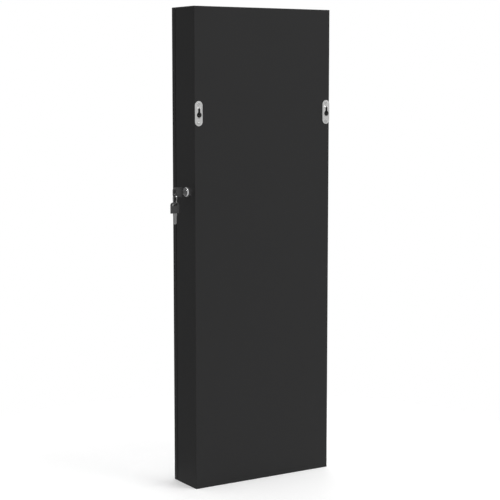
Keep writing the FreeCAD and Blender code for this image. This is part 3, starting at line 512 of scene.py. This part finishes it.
def solids(node):
    """The box of each separate solid of a node, in millimetres, ordered along X, then Z, then Y."""
    bm = bmesh.new()
    bm.from_mesh(frame["nodes"][node].data)
    bmesh.ops.remove_doubles(bm, verts=bm.verts, dist=WELD)
    left, boxes = set(bm.verts), []
    while left:
        open_ends, found = [left.pop()], []
        while open_ends:
            vertex = open_ends.pop()
            found.append(vertex.co / MM)
            for edge in vertex.link_edges:
                other = edge.other_vert(vertex)
                if other in left:
                    left.discard(other)
                    open_ends.append(other)
        low = Vector([min(p[axis] for p in found) for axis in range(3)])
        high = Vector([max(p[axis] for p in found) for axis in range(3)])
        boxes.append((low, high))
    bm.free()
    return sorted(boxes, key=lambda b: (round(b[0].x), round(b[0].z), round(b[0].y)))


def loft(rings, wrap=False, caps=False):
    """Faces that join closed rings of as many points each."""
    count, faces = len(rings[0]), []
    for number in range(len(rings) if wrap else len(rings) - 1):
        a, b = number * count, (number + 1) % len(rings) * count
        for k in range(count):
            n = (k + 1) % count
            faces.append((a + k, a + n, b + n, b + k))
    if caps:
        last = (len(rings) - 1) * count
        faces += [tuple(range(count)), tuple(range(last, last + count))]
    return [p for ring in rings for p in ring], faces


def piece(name, parts, node, smooth=SMOOTH_UNDER):
    """One object from parts, each its points in millimetres and its faces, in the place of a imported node."""
    points, faces = [], []
    for part_points, part_faces in parts:
        base = len(points)
        points += [tuple(p * MM) for p in part_points]
        faces += [tuple(base + k for k in face) for face in part_faces]
    mesh = bpy.data.meshes.new(name)
    mesh.from_pydata(points, [], faces)
    bm = bmesh.new()
    bm.from_mesh(mesh)
    bmesh.ops.recalc_face_normals(bm, faces=bm.faces)
    if any(len(edge.link_faces) != 2 for edge in bm.edges):
        raise RuntimeError(f"{name} isn't closed")
    bm.to_mesh(mesh)
    bm.free()
    mesh.polygons.foreach_set("use_smooth", [True] * len(mesh.polygons))
    mesh.set_sharp_from_angle(angle=smooth)
    made = bpy.data.objects.new(name, mesh)
    bpy.context.scene.collection.objects.link(made)
    mesh.materials.append(finish(SLOTS[node]))
    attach(made, BODIES[node])
    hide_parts(node)
    return made


def full_turn(steps):
    """Even angles of a whole turn."""
    return [2 * math.pi * k / steps for k in range(steps)]


def quarter_turn(steps):
    """Even angles from nothing to a right angle, both ends included."""
    return [math.radians(90 * k / steps) for k in range(steps + 1)]


def eased(along):
    """A share from 0 to 1 that starts and ends slowly."""
    return along * along * (3 - 2 * along)


def square_to(axis):
    """Two directions square to one of the frame's axes and to each other."""
    side = X if axis.dot(Z) else Z
    return side, axis.cross(side)


def ring_of(centre, side, up, radius, turns):
    return [centre + (side * math.cos(a) + up * math.sin(a)) * radius for a in turns]


def lathe(centre, axis, profile, wrap=False, caps=False, steps=TURN_STEPS):
    """A turned part: profile points are (place along the axis, radius)."""
    side, up = square_to(axis)
    turns = full_turn(steps)
    rings = [ring_of(centre + axis * along, side, up, radius, turns) for along, radius in profile]
    return loft(rings, wrap, caps)


def arc(centre, radius, start, end, steps=ARC_STEPS):
    """Points of an arc in a plane, angles in degrees."""
    turns = [math.radians(start + (end - start) * k / steps) for k in range(steps + 1)]
    return [(centre[0] + radius * math.cos(a), centre[1] + radius * math.sin(a)) for a in turns]


def rounded_box(low, high, radii):
    """An outline with four rounded corners, from the lowest corner round by the first axis."""
    (a0, b0), (a1, b1) = low, high
    corners = [((a0, b0), (1, 1), 180), ((a1, b0), (-1, 1), 270), ((a1, b1), (-1, -1), 0),
               ((a0, b1), (1, -1), 90)]
    outline = []
    for (corner, into, start), radius in zip(corners, radii):
        centre = (corner[0] + into[0] * radius, corner[1] + into[1] * radius)
        outline += arc(centre, radius, start, start + 90)
    return outline


def stadium(half, low, high):
    """An upright outline with round ends, about the first axis' zero."""
    return arc((0, high), half, 0, 180, 3 * ARC_STEPS) + arc((0, low), half, 180, 360, 3 * ARC_STEPS)


def reach(outline, centre, turn):
    """How far a ray from a centre runs to an outline round it."""
    direction = (math.cos(turn), math.sin(turn))
    far = 0.0
    for (ax, ay), (bx, by) in zip(outline, outline[1:] + outline[:1]):
        ex, ey, ox, oy = bx - ax, by - ay, ax - centre[0], ay - centre[1]
        cross = direction[0] * ey - direction[1] * ex
        if abs(cross) < PARALLEL:
            continue
        along = (ox * ey - oy * ex) / cross
        share_of_edge = (ox * direction[1] - oy * direction[0]) / cross
        if along > 0 and -EDGE_SLACK <= share_of_edge <= 1 + EDGE_SLACK:
            far = max(far, along)
    if not far:
        raise RuntimeError("a ray leaves its centre and meets no outline")
    return far


def fan(outlines, centre):
    """The turns at which rays from a centre meet the corners of outlines, with even ones between."""
    turns = full_turn(RAY_STEPS)
    for outline in outlines:
        turns += [math.atan2(b - centre[1], a - centre[0]) % (2 * math.pi) for a, b in outline]
    kept = []
    for turn in sorted(turns):
        if not kept or turn - kept[-1] > RAY_GAP:
            kept.append(turn)
    return kept


def plate_with_hole(levels, centre, turns, place):
    """A closed plate round one hole: levels are (outline, height), round its section."""
    rings = []
    for outline, height in levels:
        ring = []
        for turn in turns:
            far = reach(outline, centre, turn)
            ring.append(place(centre[0] + far * math.cos(turn), centre[1] + far * math.sin(turn), height))
        rings.append(ring)
    return loft(rings, wrap=True)


def cross_head_screw(seat, axis, head_radius, head_height, shank_radius, tip, flat):
    """A screw whose head looks along axis from its seat, with a cross recess and its shank behind it."""
    side, up = square_to(axis)
    far = head_radius * bpy.context.scene.cabinet_fittings.recess
    # Half the width of the recess's arms, its floor's share of it, its depth, and its rim under the top.
    arm, floor_share, depth, rim = 0.3 * far, 0.45, 0.33 * head_radius, 0.04
    top = 0.0 if flat else head_height
    cross = []
    for c, s in ((1, 0), (0, 1), (-1, 0), (0, -1)):
        for a, b in [(arm, arm), (arm, (arm + far) / 2), (arm, far), (0, far), (-arm, far),
                     (-arm, (arm + far) / 2)]:
            cross.append((a * c - b * s, a * s + b * c))
    turns = [math.atan2(b, a) for a, b in cross]

    def flat_ring(spots, along):
        return [seat + axis * along + side * a + up * b for a, b in spots]

    # Rings of the head are (share of its radius, height), then the shank and its tip.
    head = [(0.78, top), (1.0, top)] if flat else [
        (0.78, top), (0.93, 0.78 * head_height), (1.0, 0.4 * head_height), (1.0, 0.0)]
    shank = [(1.0, -head_height if flat else 0.0), (1.0, -0.8 * tip), (0.15, -tip)]
    rings = [flat_ring([(a * floor_share, b * floor_share) for a, b in cross], top - depth),
             flat_ring(cross, top - rim)]
    rings += [ring_of(seat + axis * along, side, up, head_radius * share, turns) for share, along in head]
    rings += [ring_of(seat + axis * along, side, up, shank_radius * share, turns) for share, along in shank]
    return loft(rings, caps=True)


# ---- operators


class Step:
    """What every step of the cabinet shares."""

    bl_options = {"REGISTER", "UNDO"}


class CABINET_OT_boards(Step, bpy.types.Operator):
    """Lacquer the case and the door's frame, and finish the boards inside them"""

    bl_idname = "cabinet.boards"
    bl_label = "Case and door boards"

    def execute(self, context):
        case = ["case_back", "case_side_left", "case_side_right", "case_top", "case_bottom"]
        door = ["door_stile_left", "door_stile_right", "door_rail_top", "door_rail_bottom"]
        dress(*case, *door, "case_dowels", "mirror_backing")
        ease(context.scene.cabinet_fittings.joint, *case)
        ease(context.scene.cabinet_fittings.edge, *door)
        return {"FINISHED"}


class CABINET_OT_mirror(Step, bpy.types.Operator):
    """Silver the mirror in the door"""

    bl_idname = "cabinet.mirror"
    bl_label = "Mirror"

    def execute(self, context):
        dress("mirror_glass")
        return {"FINISHED"}


class CABINET_OT_shelves(Step, bpy.types.Operator):
    """Finish the shelves with their pins and guard strips, the rails and the earring panel"""

    bl_idname = "cabinet.shelves"
    bl_label = "Shelves and rails"

    def execute(self, context):
        shelves = [f"shelf_{number}" for number in range(1, 6)]
        guards = [f"guard_strip_{number}" for number in range(1, 5)]
        rails = ["necklace_rail", "door_hook_rail"]
        dress(*shelves, *guards, *rails, "earring_panel", "earring_standoffs", "shelf_pins")
        ease(context.scene.cabinet_fittings.edge, *shelves, *guards, *rails)
        return {"FINISHED"}


class CABINET_OT_hooks(Step, bpy.types.Operator):
    """Polish the hooks and the bracelet rod, and finish the rod's sockets"""

    bl_idname = "cabinet.hooks"
    bl_label = "Hooks and rod"

    def execute(self, context):
        dress("necklace_hooks", "door_hooks", "bracelet_rod", "rod_sockets")
        return {"FINISHED"}


class CABINET_OT_linings(Step, bpy.types.Operator):
    """Lay the flocked linings on the back of the case and on the door"""

    bl_idname = "cabinet.linings"
    bl_label = "Flocked linings"

    def lining(self, name, node, face):
        """A flocked sheet with soft edges and a faintly uneven face; face is the sign of Y that it shows."""
        low, high = box_mm(node)
        show, hide = (low.y, high.y) if face < 0 else (high.y, low.y)
        across, down = 20, 56  # fields of the face
        dent_depth, dent_scale = 0.12, 0.03  # how deep its unevenness goes, and how close it lies
        walk = [(i, 0) for i in range(across)] + [(across, k) for k in range(down)]
        walk += [(across - i, down) for i in range(across)] + [(0, down - k) for k in range(down)]
        rings = []
        # From the glued side over the soft edge to the rim of the face: how far in, and how far out.
        for inset, y in ((0.0, hide), (0.0, show - face * 0.55), (0.18, show - face * 0.2), (0.6, show)):
            corner = Vector((low.x + inset, y, low.z + inset))
            step_x = X * ((high.x - low.x - 2 * inset) / across)
            step_z = Z * ((high.z - low.z - 2 * inset) / down)
            rings.append([corner + step_x * i + step_z * k for i, k in walk])
        points, faces = loft(rings)
        faces.append(tuple(range(len(walk))))
        # The last ring is the rim of the face, so its corner and its steps serve for the fields too.
        index = {spot: (len(rings) - 1) * len(walk) + number for number, spot in enumerate(walk)}
        for i in range(1, across):
            for k in range(1, down):
                index[i, k] = len(points)
                spot = corner + step_x * i + step_z * k
                dent = dent_depth * (0.5 + 0.5 * noise.noise(Vector((spot.x, spot.z, 0)) * dent_scale))
                points.append(spot - Y * (face * dent))
        for i in range(across):
            for k in range(down):
                faces.append((index[i, k], index[i + 1, k], index[i + 1, k + 1], index[i, k + 1]))
        return piece(name, [(points, faces)], node)

    def execute(self, context):
        self.lining("flocked_back_lining", "back_lining", -1)
        self.lining("flocked_door_lining", "door_lining", 1)
        return {"FINISHED"}


class CABINET_OT_ring_cushion(Step, bpy.types.Operator):
    """Make the ring cushion of flocked foam rolls that grip the rings between them"""

    bl_idname = "cabinet.ring_cushion"
    bl_label = "Ring cushion"

    rolls: bpy.props.IntProperty(name="Rolls", description="How many rolls the cushion has", default=7, min=1)
    slit: length("Slit depth", "How deep the slits between the rolls run", 9 * MM)

    def execute(self, context):
        low, high = box_mm("ring_cushion")
        pitch = (high.z - low.z) / self.rolls
        slit = self.slit / MM
        stations, around = 60, 10
        round_end, foot, seam, gap = 4.5, 0.4, 0.35, 0.25  # a roll's rounded end, and room round the rolls
        swing, plump = 86, 0.62  # how far round a roll's face goes each way, and how full its curve is
        bulge_left, radius_left = 0.55, 0.93  # the shares of them that are left at a roll's ends
        lump_depth, lump_step, roll_step, turn_step = 0.22, 0.045, 3.1, 0.25  # of its uneven stuffing
        rings = []
        for station in range(stations + 1):
            # Each end of a roll is drawn in and rounded.
            x = low.x + (high.x - low.x) * station / stations
            to_end = min(x - low.x, high.x - x)
            full = math.sqrt(max(0.0, 1 - max(0.0, 1 - to_end / round_end) ** 2))
            ring = [Vector((x, high.y, low.z + foot)), Vector((x, high.y, high.z - foot))]
            for roll in reversed(range(self.rolls)):
                middle = low.z + pitch * (roll + 0.5)
                for k in range(around + 1):
                    turn = math.radians(-swing + 2 * swing * k / around)
                    lump = noise.noise(Vector((x * lump_step, roll * roll_step, k * turn_step))) * lump_depth
                    radius = pitch / 2 - gap + lump * math.cos(turn)
                    bulge = slit * math.cos(turn) ** plump * (bulge_left + (1 - bulge_left) * full)
                    y = low.y + slit + seam - bulge - lump * math.cos(turn)
                    z = middle - radius * math.sin(turn) * (radius_left + (1 - radius_left) * full)
                    ring.append(Vector((x, max(y, low.y), z)))
            rings.append(ring)
        points, faces = loft(rings, caps=True)
        cushion = piece("ring_cushion_rolls", [(points, faces)], "ring_cushion", smooth=math.radians(70))
        return {"FINISHED"}


class CABINET_OT_hanger_plates(Step, bpy.types.Operator):
    """Press the two keyhole hanger plates from sheet, with a raised part round each keyhole"""

    bl_idname = "cabinet.hanger_plates"
    bl_label = "Hanger plates"

    def execute(self, context):
        low_arc, high_arc, hole_radius, slot, slot_high, emboss, emboss_high, sheet, slope = in_mm(
            context.scene.cabinet_fittings, "plate_low", "plate_high", "keyhole", "keyslot", "keyslot_high",
            "emboss_half", "emboss_high", "sheet", "press_slope")
        # How far in and how far down the rounded edges go, ring by ring, in millimetres.
        flange_edge = ((0.0, 0.3), (0.1, 0.09), (0.32, 0.0))
        hole_edge = ((0.32, 0.0), (0.09, 0.08), (0.0, 0.32))
        spread = 0.35  # how far the slope's foot stands outside the raised part

        def keyhole(grow):
            radius, half = hole_radius + grow, slot + grow
            meet = math.degrees(math.asin(half / radius))
            return arc((0, slot_high), half, 0, 180, 2 * ARC_STEPS) + arc(
                (0, 0), radius, 90 + meet, 450 - meet, 5 * ARC_STEPS)

        def raised(half):
            return stadium(half, 0, emboss_high)

        def rim(half, inset=0.0):
            return stadium(half - inset, low_arc, high_arc)

        parts = []
        for low, high in solids("hanger_plates"):
            middle, half = (low.x + high.x) / 2, (high.x - low.x) / 2
            back, front = low.y, high.y
            flange = back + sheet
            rise = front - flange
            levels = [(rim(half), back)] + [(rim(half, inset), flange - drop) for inset, drop in flange_edge]
            for step in range(ARC_STEPS + 1):
                along = step / ARC_STEPS
                levels.append((raised(emboss + spread - slope * along), flange + rise * eased(along)))
            levels += [(keyhole(inset), front - drop) for inset, drop in hole_edge]
            levels += [
                (keyhole(0.0), front - sheet),
                (raised(emboss - sheet - 0.6), front - sheet),
                (raised(emboss - sheet), front - sheet - 0.5),
                (raised(emboss - sheet + 0.1), back),
            ]
            turns = fan([keyhole(0.0), raised(emboss), rim(half)], (0, 0))
            parts.append(plate_with_hole(levels, (0, 0), turns, lambda a, b, y: Vector((middle - a, y, b))))
        piece("pressed_hanger_plates", parts, "hanger_plates")
        return {"FINISHED"}


class CABINET_OT_screws(Step, bpy.types.Operator):
    """Drive cross-head screws into the hangers, hinges, keeper, catch and cam"""

    bl_idname = "cabinet.screws"
    bl_label = "Screws"

    # Node, the way its heads look, whether they are countersunk, their height and the shank's radius in mm.
    KINDS = (
        ("hanger_screws", Y, False, 1.2, 1.3),
        ("hinge_case_screws", -Y, True, 1.2, 1.3),
        ("hinge_door_screws", Y, True, 1.2, 1.3),
        ("keeper_screws", Y, False, 1.2, 1.3),
        ("catch_screws", -Z, False, 1.2, 1.3),
        ("cam_screw", -X, False, 1.8, 1.5),
    )

    def execute(self, context):
        for node, axis, flat, height, shank in self.KINDS:
            parts = []
            for low, high in solids(node):
                middle, size = (low + high) / 2, high - low
                long = abs(size.dot(axis))
                across = min(size.dot(way) for way in (X, Z) if not axis.dot(way))
                proud = 0 if flat else height
                seat = middle + axis * (long / 2 - proud)
                parts.append(cross_head_screw(seat, axis, across / 2, height, shank, long - proud, flat))
            piece("cross_head_" + node, parts, node, smooth=math.radians(40))
        return {"FINISHED"}


class CABINET_OT_hinges(Step, bpy.types.Operator):
    """Finish the three butt hinges"""

    bl_idname = "cabinet.hinges"
    bl_label = "Hinges"

    def execute(self, context):
        dress("hinge_case_leaves", "hinge_door_leaves", "hinge_pins")
        return {"FINISHED"}


class CABINET_OT_catch(Step, bpy.types.Operator):
    """Finish the magnetic catch and its strike plate, and mould the door's bumpers"""

    bl_idname = "cabinet.catch"
    bl_label = "Catch and bumpers"

    def execute(self, context):
        dress("catch_housing", "catch_magnet", "strike_plate")
        ease(SMALL_EDGE, "strike_plate", "catch_magnet")
        foot, crown = 0.25, 0.45  # the straight foot's share of the height, the flat crown's of the radius
        parts = []
        for low, high in solids("door_bumpers"):
            centre = Vector(((low.x + high.x) / 2, low.y, (low.z + high.z) / 2))
            radius, tall = (high.x - low.x) / 2, high.y - low.y
            profile = [(0, radius), (tall * foot, radius)]
            for a in quarter_turn(ARC_STEPS)[1:]:
                profile.append((tall * (foot + (1 - foot) * math.sin(a)),
                                radius * (crown + (1 - crown) * math.cos(a))))
            parts.append(lathe(centre, Y, profile, caps=True, steps=32))
        piece("domed_bumpers", parts, "door_bumpers")
        return {"FINISHED"}


class CABINET_OT_lock(Step, bpy.types.Operator):
    """Turn the lock's chrome head, and finish its plug, nut, cam and keeper"""

    bl_idname = "cabinet.lock"
    bl_label = "Cam lock"

    bore: length("Bore", "Radius of the housing's bore", 6.08 * MM)
    recess: length("Recess", "Radius of the recess in the lock's head", 7.28 * MM)
    barrel: length("Barrel", "Radius of the threaded barrel", 7.9 * MM)
    flange: length("Flange", "Thickness of the lock's head", 5 * MM)
    recess_depth: length("Recess depth", "How deep the plug's head sits", 3 * MM)

    def execute(self, context):
        low, high = box_mm("lock_housing")
        centre = Vector((0, (low.y + high.y) / 2, (low.z + high.z) / 2))
        barrel, bore, recess, flange, recess_depth = in_mm(
            self, "barrel", "bore", "recess", "flange", "recess_depth")
        radius, face = (high.y - low.y) / 2, high.x
        seat = face - flange
        turns, pitch, lead, run_out, thread = 14, 1.25, 0.4, 0.05, 0.45  # of the barrel's thread
        upright, lip = 1.4, 0.4  # the head's upright rim, and the flat one round its recess
        near, deep, dome_steps = 0.1, 0.35, 10  # the eased edge of the recess, and steps over the dome
        profile = [(low.x, bore), (low.x, barrel - thread)]
        for turn in range(turns):
            start = low.x + lead + turn * pitch
            profile.append((start, barrel - thread))
            profile += [(start + pitch * crest, barrel) for crest in (0.4, 0.6)]
        profile += [(seat - run_out, barrel - thread), (seat, barrel - thread), (seat, radius)]
        rise, draw = flange - upright, radius - recess - lip
        profile += [(face - rise + rise * math.sin(a), radius - draw + draw * math.cos(a))
                    for a in quarter_turn(dome_steps)]
        profile += [(face - near, recess + near), (face - deep, recess), (face - recess_depth, recess),
                    (face - recess_depth, bore)]
        piece("turned_lock_head", [lathe(centre, X, profile, wrap=True, steps=96)], "lock_housing")
        dress("lock_plug", "lock_nut", "lock_cam", "keeper_bracket", "keeper_pin")
        return {"FINISHED"}


class CABINET_OT_keys(Step, bpy.types.Operator):
    """Mould the bows of both keys and finish their blades"""

    bl_idname = "cabinet.keys"
    bl_label = "Keys"

    slot_place: length("Slot place", "Middle of the ring's slot from the bow's end at the blade", 16.4 * MM)
    slot_width: length("Slot width", "Width of the ring's slot along the key", 4.4 * MM)
    slot_length: length("Slot length", "Length of the ring's slot across the key", 10 * MM)

    def bow(self, name, node, along, across):
        """A moulded bow: rounded edges, a faintly crowned face and a slot whose edges are eased."""
        low, high = box_mm(node)
        middle, extent = (low + high) / 2, high - low
        long, wide, thick = extent.dot(along), extent.dot(across), extent.y / 2
        start = middle - along * long / 2
        corner, edge = in_mm(bpy.context.scene.cabinet_fittings, "bow_corner", "bow_edge")
        spot, slot, tall = in_mm(self, "slot_place", "slot_width", "slot_length")
        slot, tall = slot / 2, tall / 2
        shoulder, least, slot_corner = 0.8, 0.5, 0.7  # radii of corners in millimetres

        def outer(inset):
            far = max(least, corner - inset)
            return rounded_box((inset, -wide / 2 + inset), (long - inset, wide / 2 - inset),
                               (shoulder, far, far, shoulder))

        def inner(grow):
            return rounded_box((spot - slot - grow, -tall - grow), (spot + slot + grow, tall + grow),
                               (slot_corner + grow,) * 4)

        # From the slot's wall over its eased edge and the face to the outer wall.
        half_side = [
            (inner(0.0), thick - 0.4), (inner(0.12), thick - 0.12), (inner(0.4), thick),
            (outer(edge + 0.9), thick), (outer(edge * 0.6), thick - 0.12),
            (outer(edge * 0.22), thick - edge * 0.45), (outer(0.0), thick - edge),
        ]
        levels = half_side + [(outline, -height) for outline, height in reversed(half_side)]
        turns = fan([inner(0.0), outer(0.0)], (spot, 0))

        def place(a, b, height):
            return start + along * a + across * b + Y * height

        return piece(name, [plate_with_hole(levels, (spot, 0), turns, place)], node)

    def execute(self, context):
        dress("key_blade", "spare_key_blade")
        self.bow("moulded_key_bow", "key_bow", X, Z)
        self.bow("moulded_spare_key_bow", "spare_key_bow", Z, X)
        return {"FINISHED"}


class CABINET_OT_key_ring(Step, bpy.types.Operator):
    """Wind the split ring that carries the keys, two turns of flat spring wire"""

    bl_idname = "cabinet.key_ring"
    bl_label = "Key ring"

    jog: angle("Jog", "Angle over which the wire steps across", 34)

    def execute(self, context):
        low, high = box_mm("key_ring")
        centre = (low + high) / 2
        band, layer = in_mm(context.scene.cabinet_fittings, "ring_band", "ring_layer")
        hang = context.scene.cabinet_fittings.ring_turn
        inside, gap, corner = 0.1, 0.02, 0.2  # room round the ring and between its turns, the wire's corners
        radius = (high.z - low.z) / 2 - band / 2 - inside
        axis = Vector((math.cos(hang), math.sin(hang), 0))
        side = axis.cross(Z)
        section = rounded_box((-band / 2, -layer / 2), (band / 2, layer / 2), (corner,) * 4)
        whole = 4 * math.pi - self.jog
        steps, start = 150, math.radians(200)
        rings = []
        for step in range(steps + 1):
            turn = whole * step / steps
            crossing = min(1.0, max(0.0, (turn - (2 * math.pi - self.jog)) / self.jog))
            shift = (eased(crossing) * 2 - 1) * (layer / 2 + gap)
            out = side * math.cos(start + turn) + Z * math.sin(start + turn)
            rings.append([centre + out * (radius + a) + axis * (shift + b) for a, b in section])
        piece("split_key_ring", [loft(rings, caps=True)], "key_ring")
        return {"FINISHED"}


class CABINET_OT_stage(Step, bpy.types.Operator):
    """Set up the pale studio, its lamps and the camera"""

    bl_idname = "cabinet.stage"
    bl_label = "Studio and camera"

    # A soft lamp's name, its place and its width in metres, and the setting of its power.
    LAMPS = (
        ("key_lamp", (-0.4, 0.7, 1.9), 0.55, "key_power"),
        ("side_lamp", (-2.0, -0.1, 1.15), 0.7, "side_power"),
        ("fill_lamp", (-1.2, -2.2, 1.6), 1.4, "fill_power"),
    )
    GLINT_PLACE = Vector((0.95, 0.12, 0.74))  # from the lock, in metres
    GLINT_WIDTH, GLINT_CONE, GLINT_FADE = 0.18, math.radians(9), 0.6  # it fades over that share of its cone
    LIT_WAY = (-0.52, 0.85, 0.0)  # towards the studio's bright side
    DARK_BELOW, LIT_ABOVE = -1.0, -0.5  # how far along it the dark side ends and the bright one starts
    FLOOR_STEPS = 72
    FLOOR_LIFT = 0.24  # what makes the lit floor white to the camera
    FLOOR_CLOUDS = 1.02  # how much paler its clouds are
    SEEN_WHOLE = 0.25  # the share of the floor's radius where it starts to fade before the camera
    MIRROR_GONE = 0.3  # the share where it has faded out of reflections

    def shown_rays(self, graph):
        """Rays that show a surface to the camera, straight or in a reflection."""
        rays = graph.add("LightPath").outputs
        mirrored = graph.math("ADD", rays["Is Glossy Ray"], rays["Is Transmission Ray"], clamp=True)
        return rays["Is Camera Ray"], mirrored

    def surroundings(self, context, studio):
        world = bpy.data.worlds.new("studio")
        context.scene.world = world
        world.use_nodes = True
        tree = world.node_tree
        tree.nodes.clear()
        graph = Graph(tree)
        straight, mirrored = self.shown_rays(graph)
        heading = graph.add("TexCoord").outputs["Generated"]
        lit_side = graph.add("VectorMath", {0: heading, 1: self.LIT_WAY}, operation="DOT_PRODUCT")
        open_side = graph.remap(lit_side.outputs["Value"], self.DARK_BELOW, self.LIT_ABOVE, 0, 1, smooth=True)
        white = graph.math("MAXIMUM", straight, graph.math("MULTIPLY", mirrored, open_side))
        level = graph.remap(mirrored, 0, 1, studio.ambient, studio.shade)
        light = graph.add("Background", {"Color": WHITE, "Strength": level})
        backdrop = graph.add("Background", {"Color": WHITE, "Strength": 1.0})
        seen = graph.add("MixShader", {0: white, 1: light.outputs[0], 2: backdrop.outputs[0]})
        graph.add("OutputWorld", {"Surface": seen.outputs[0]})

    def floor(self, studio):
        low, high = CAD_BOX
        half = studio.floor_size / 2
        middle = (low + high) / 2
        middle.z = low.z
        mesh = bpy.data.meshes.new("studio_floor")
        rim = ring_of(middle, X, Y, half, full_turn(self.FLOOR_STEPS))
        mesh.from_pydata(rim, [], [tuple(range(self.FLOOR_STEPS))])
        floor = bpy.data.objects.new("studio_floor", mesh)
        bpy.context.scene.collection.objects.link(floor)
        material = bpy.data.materials.new("pale_floor")
        material.use_nodes = True
        material.node_tree.nodes.clear()
        graph = Graph(material.node_tree)
        straight, mirrored = self.shown_rays(graph)
        lift = graph.math("MULTIPLY", graph.math("MAXIMUM", straight, mirrored), self.FLOOR_LIFT)
        place = graph.place()
        from_middle = graph.add("VectorMath", {0: place, 1: middle}, operation="DISTANCE").outputs["Value"]
        seen_fade = graph.remap(from_middle, self.SEEN_WHOLE * half, half, 0, 1)
        mirror_fade = graph.remap(from_middle, 0, self.MIRROR_GONE * half, 0, 1)
        fade = graph.math("MAXIMUM", graph.math("MULTIPLY", seen_fade, straight),
                          graph.math("MULTIPLY", mirror_fade, mirrored))
        tone = graph.mix(graph.noise(place, 3), tuple(studio.floor), dim(studio.floor, self.FLOOR_CLOUDS))
        matt = graph.add("BsdfDiffuse", {"Color": tone})
        glow = graph.add("Emission", {"Color": WHITE, "Strength": lift})
        both = graph.add("AddShader", {0: matt.outputs[0], 1: glow.outputs[0]})
        clear = graph.add("BsdfTransparent")
        ground = graph.add("MixShader", {0: fade, 1: both.outputs[0], 2: clear.outputs[0]})
        graph.add("OutputMaterial", {"Surface": ground.outputs[0]})
        mesh.materials.append(material)

    def lamp(self, name, place, target, width, power, cone=None):
        """A soft square lamp, or a small round one whose light keeps to a cone."""
        light = bpy.data.lights.new(name, "SPOT" if cone else "AREA")
        light.energy = power
        if cone:
            light.spot_size, light.spot_blend, light.shadow_soft_size = cone, self.GLINT_FADE, width / 2
        else:
            light.shape, light.size = "SQUARE", width
        lamp = bpy.data.objects.new(name, light)
        lamp.location = place
        lamp.rotation_mode = "QUATERNION"
        lamp.rotation_quaternion = (target - Vector(place)).to_track_quat("-Z", "Y")
        bpy.context.scene.collection.objects.link(lamp)
        return lamp

    def execute(self, context):
        studio = context.scene.cabinet_studio
        low, high = CAD_BOX
        middle = (low + high) / 2
        self.surroundings(context, studio)
        self.floor(studio)
        for name, place, width, setting in self.LAMPS:
            self.lamp(name, place, middle, width, getattr(studio, setting))
        lock = sum((Vector(corner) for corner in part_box("lock_plug")), Vector()) / 2
        glint = self.lamp("glint_lamp", lock + self.GLINT_PLACE, lock, self.GLINT_WIDTH, studio.glint_power,
                          self.GLINT_CONE)
        glint.visible_diffuse = False
        lens = bpy.data.cameras.new("camera")
        lens.lens, lens.sensor_width = studio.lens, SENSOR
        camera = bpy.data.objects.new("camera", lens)
        camera.location = studio.eye
        view = Vector((math.sin(studio.heading) * math.cos(studio.dip),
                       -math.cos(studio.heading) * math.cos(studio.dip), -math.sin(studio.dip)))
        camera.rotation_mode = "QUATERNION"
        camera.rotation_quaternion = view.to_track_quat("-Z", "Y")
        context.scene.collection.objects.link(camera)
        context.scene.camera = camera
        context.scene.view_settings.view_transform = "Standard"
        return {"FINISHED"}


class CABINET_PT_panel(bpy.types.Panel):
    """Lists the cabinet's settings and its steps"""

    bl_idname = "CABINET_PT_panel"
    bl_label = "Jewelry mirror cabinet"
    bl_space_type = "VIEW_3D"
    bl_region_type = "UI"
    bl_category = "Cabinet"

    def draw(self, context):
        for step in STEPS:
            self.layout.operator(step.bl_idname)
        for settings in SETTINGS:
            group = getattr(context.scene, settings)
            column = self.layout.box().column()
            for name in group.__annotations__:
                column.prop(group, name)


STEPS = (
    CABINET_OT_stage, CABINET_OT_boards, CABINET_OT_mirror, CABINET_OT_shelves, CABINET_OT_hooks,
    CABINET_OT_linings, CABINET_OT_ring_cushion, CABINET_OT_hanger_plates, CABINET_OT_screws,
    CABINET_OT_hinges, CABINET_OT_catch, CABINET_OT_lock, CABINET_OT_keys, CABINET_OT_key_ring,
)
SETTINGS = {
    "cabinet_finishes": CabinetFinishes, "cabinet_fittings": CabinetFittings, "cabinet_studio": CabinetStudio}
CLASSES = (*SETTINGS.values(), *STEPS, CABINET_PT_panel)


def register():
    for kind in CLASSES:
        bpy.utils.register_class(kind)
    for name, kind in SETTINGS.items():
        setattr(bpy.types.Scene, name, bpy.props.PointerProperty(type=kind))


def unregister():
    for name in SETTINGS:
        delattr(bpy.types.Scene, name)
    for kind in reversed(CLASSES):
        bpy.utils.unregister_class(kind)


def main():
    register()
    for step in STEPS:
        getattr(bpy.ops.cabinet, step.bl_idname.partition(".")[2])()


if __name__ == "__main__":
    main()
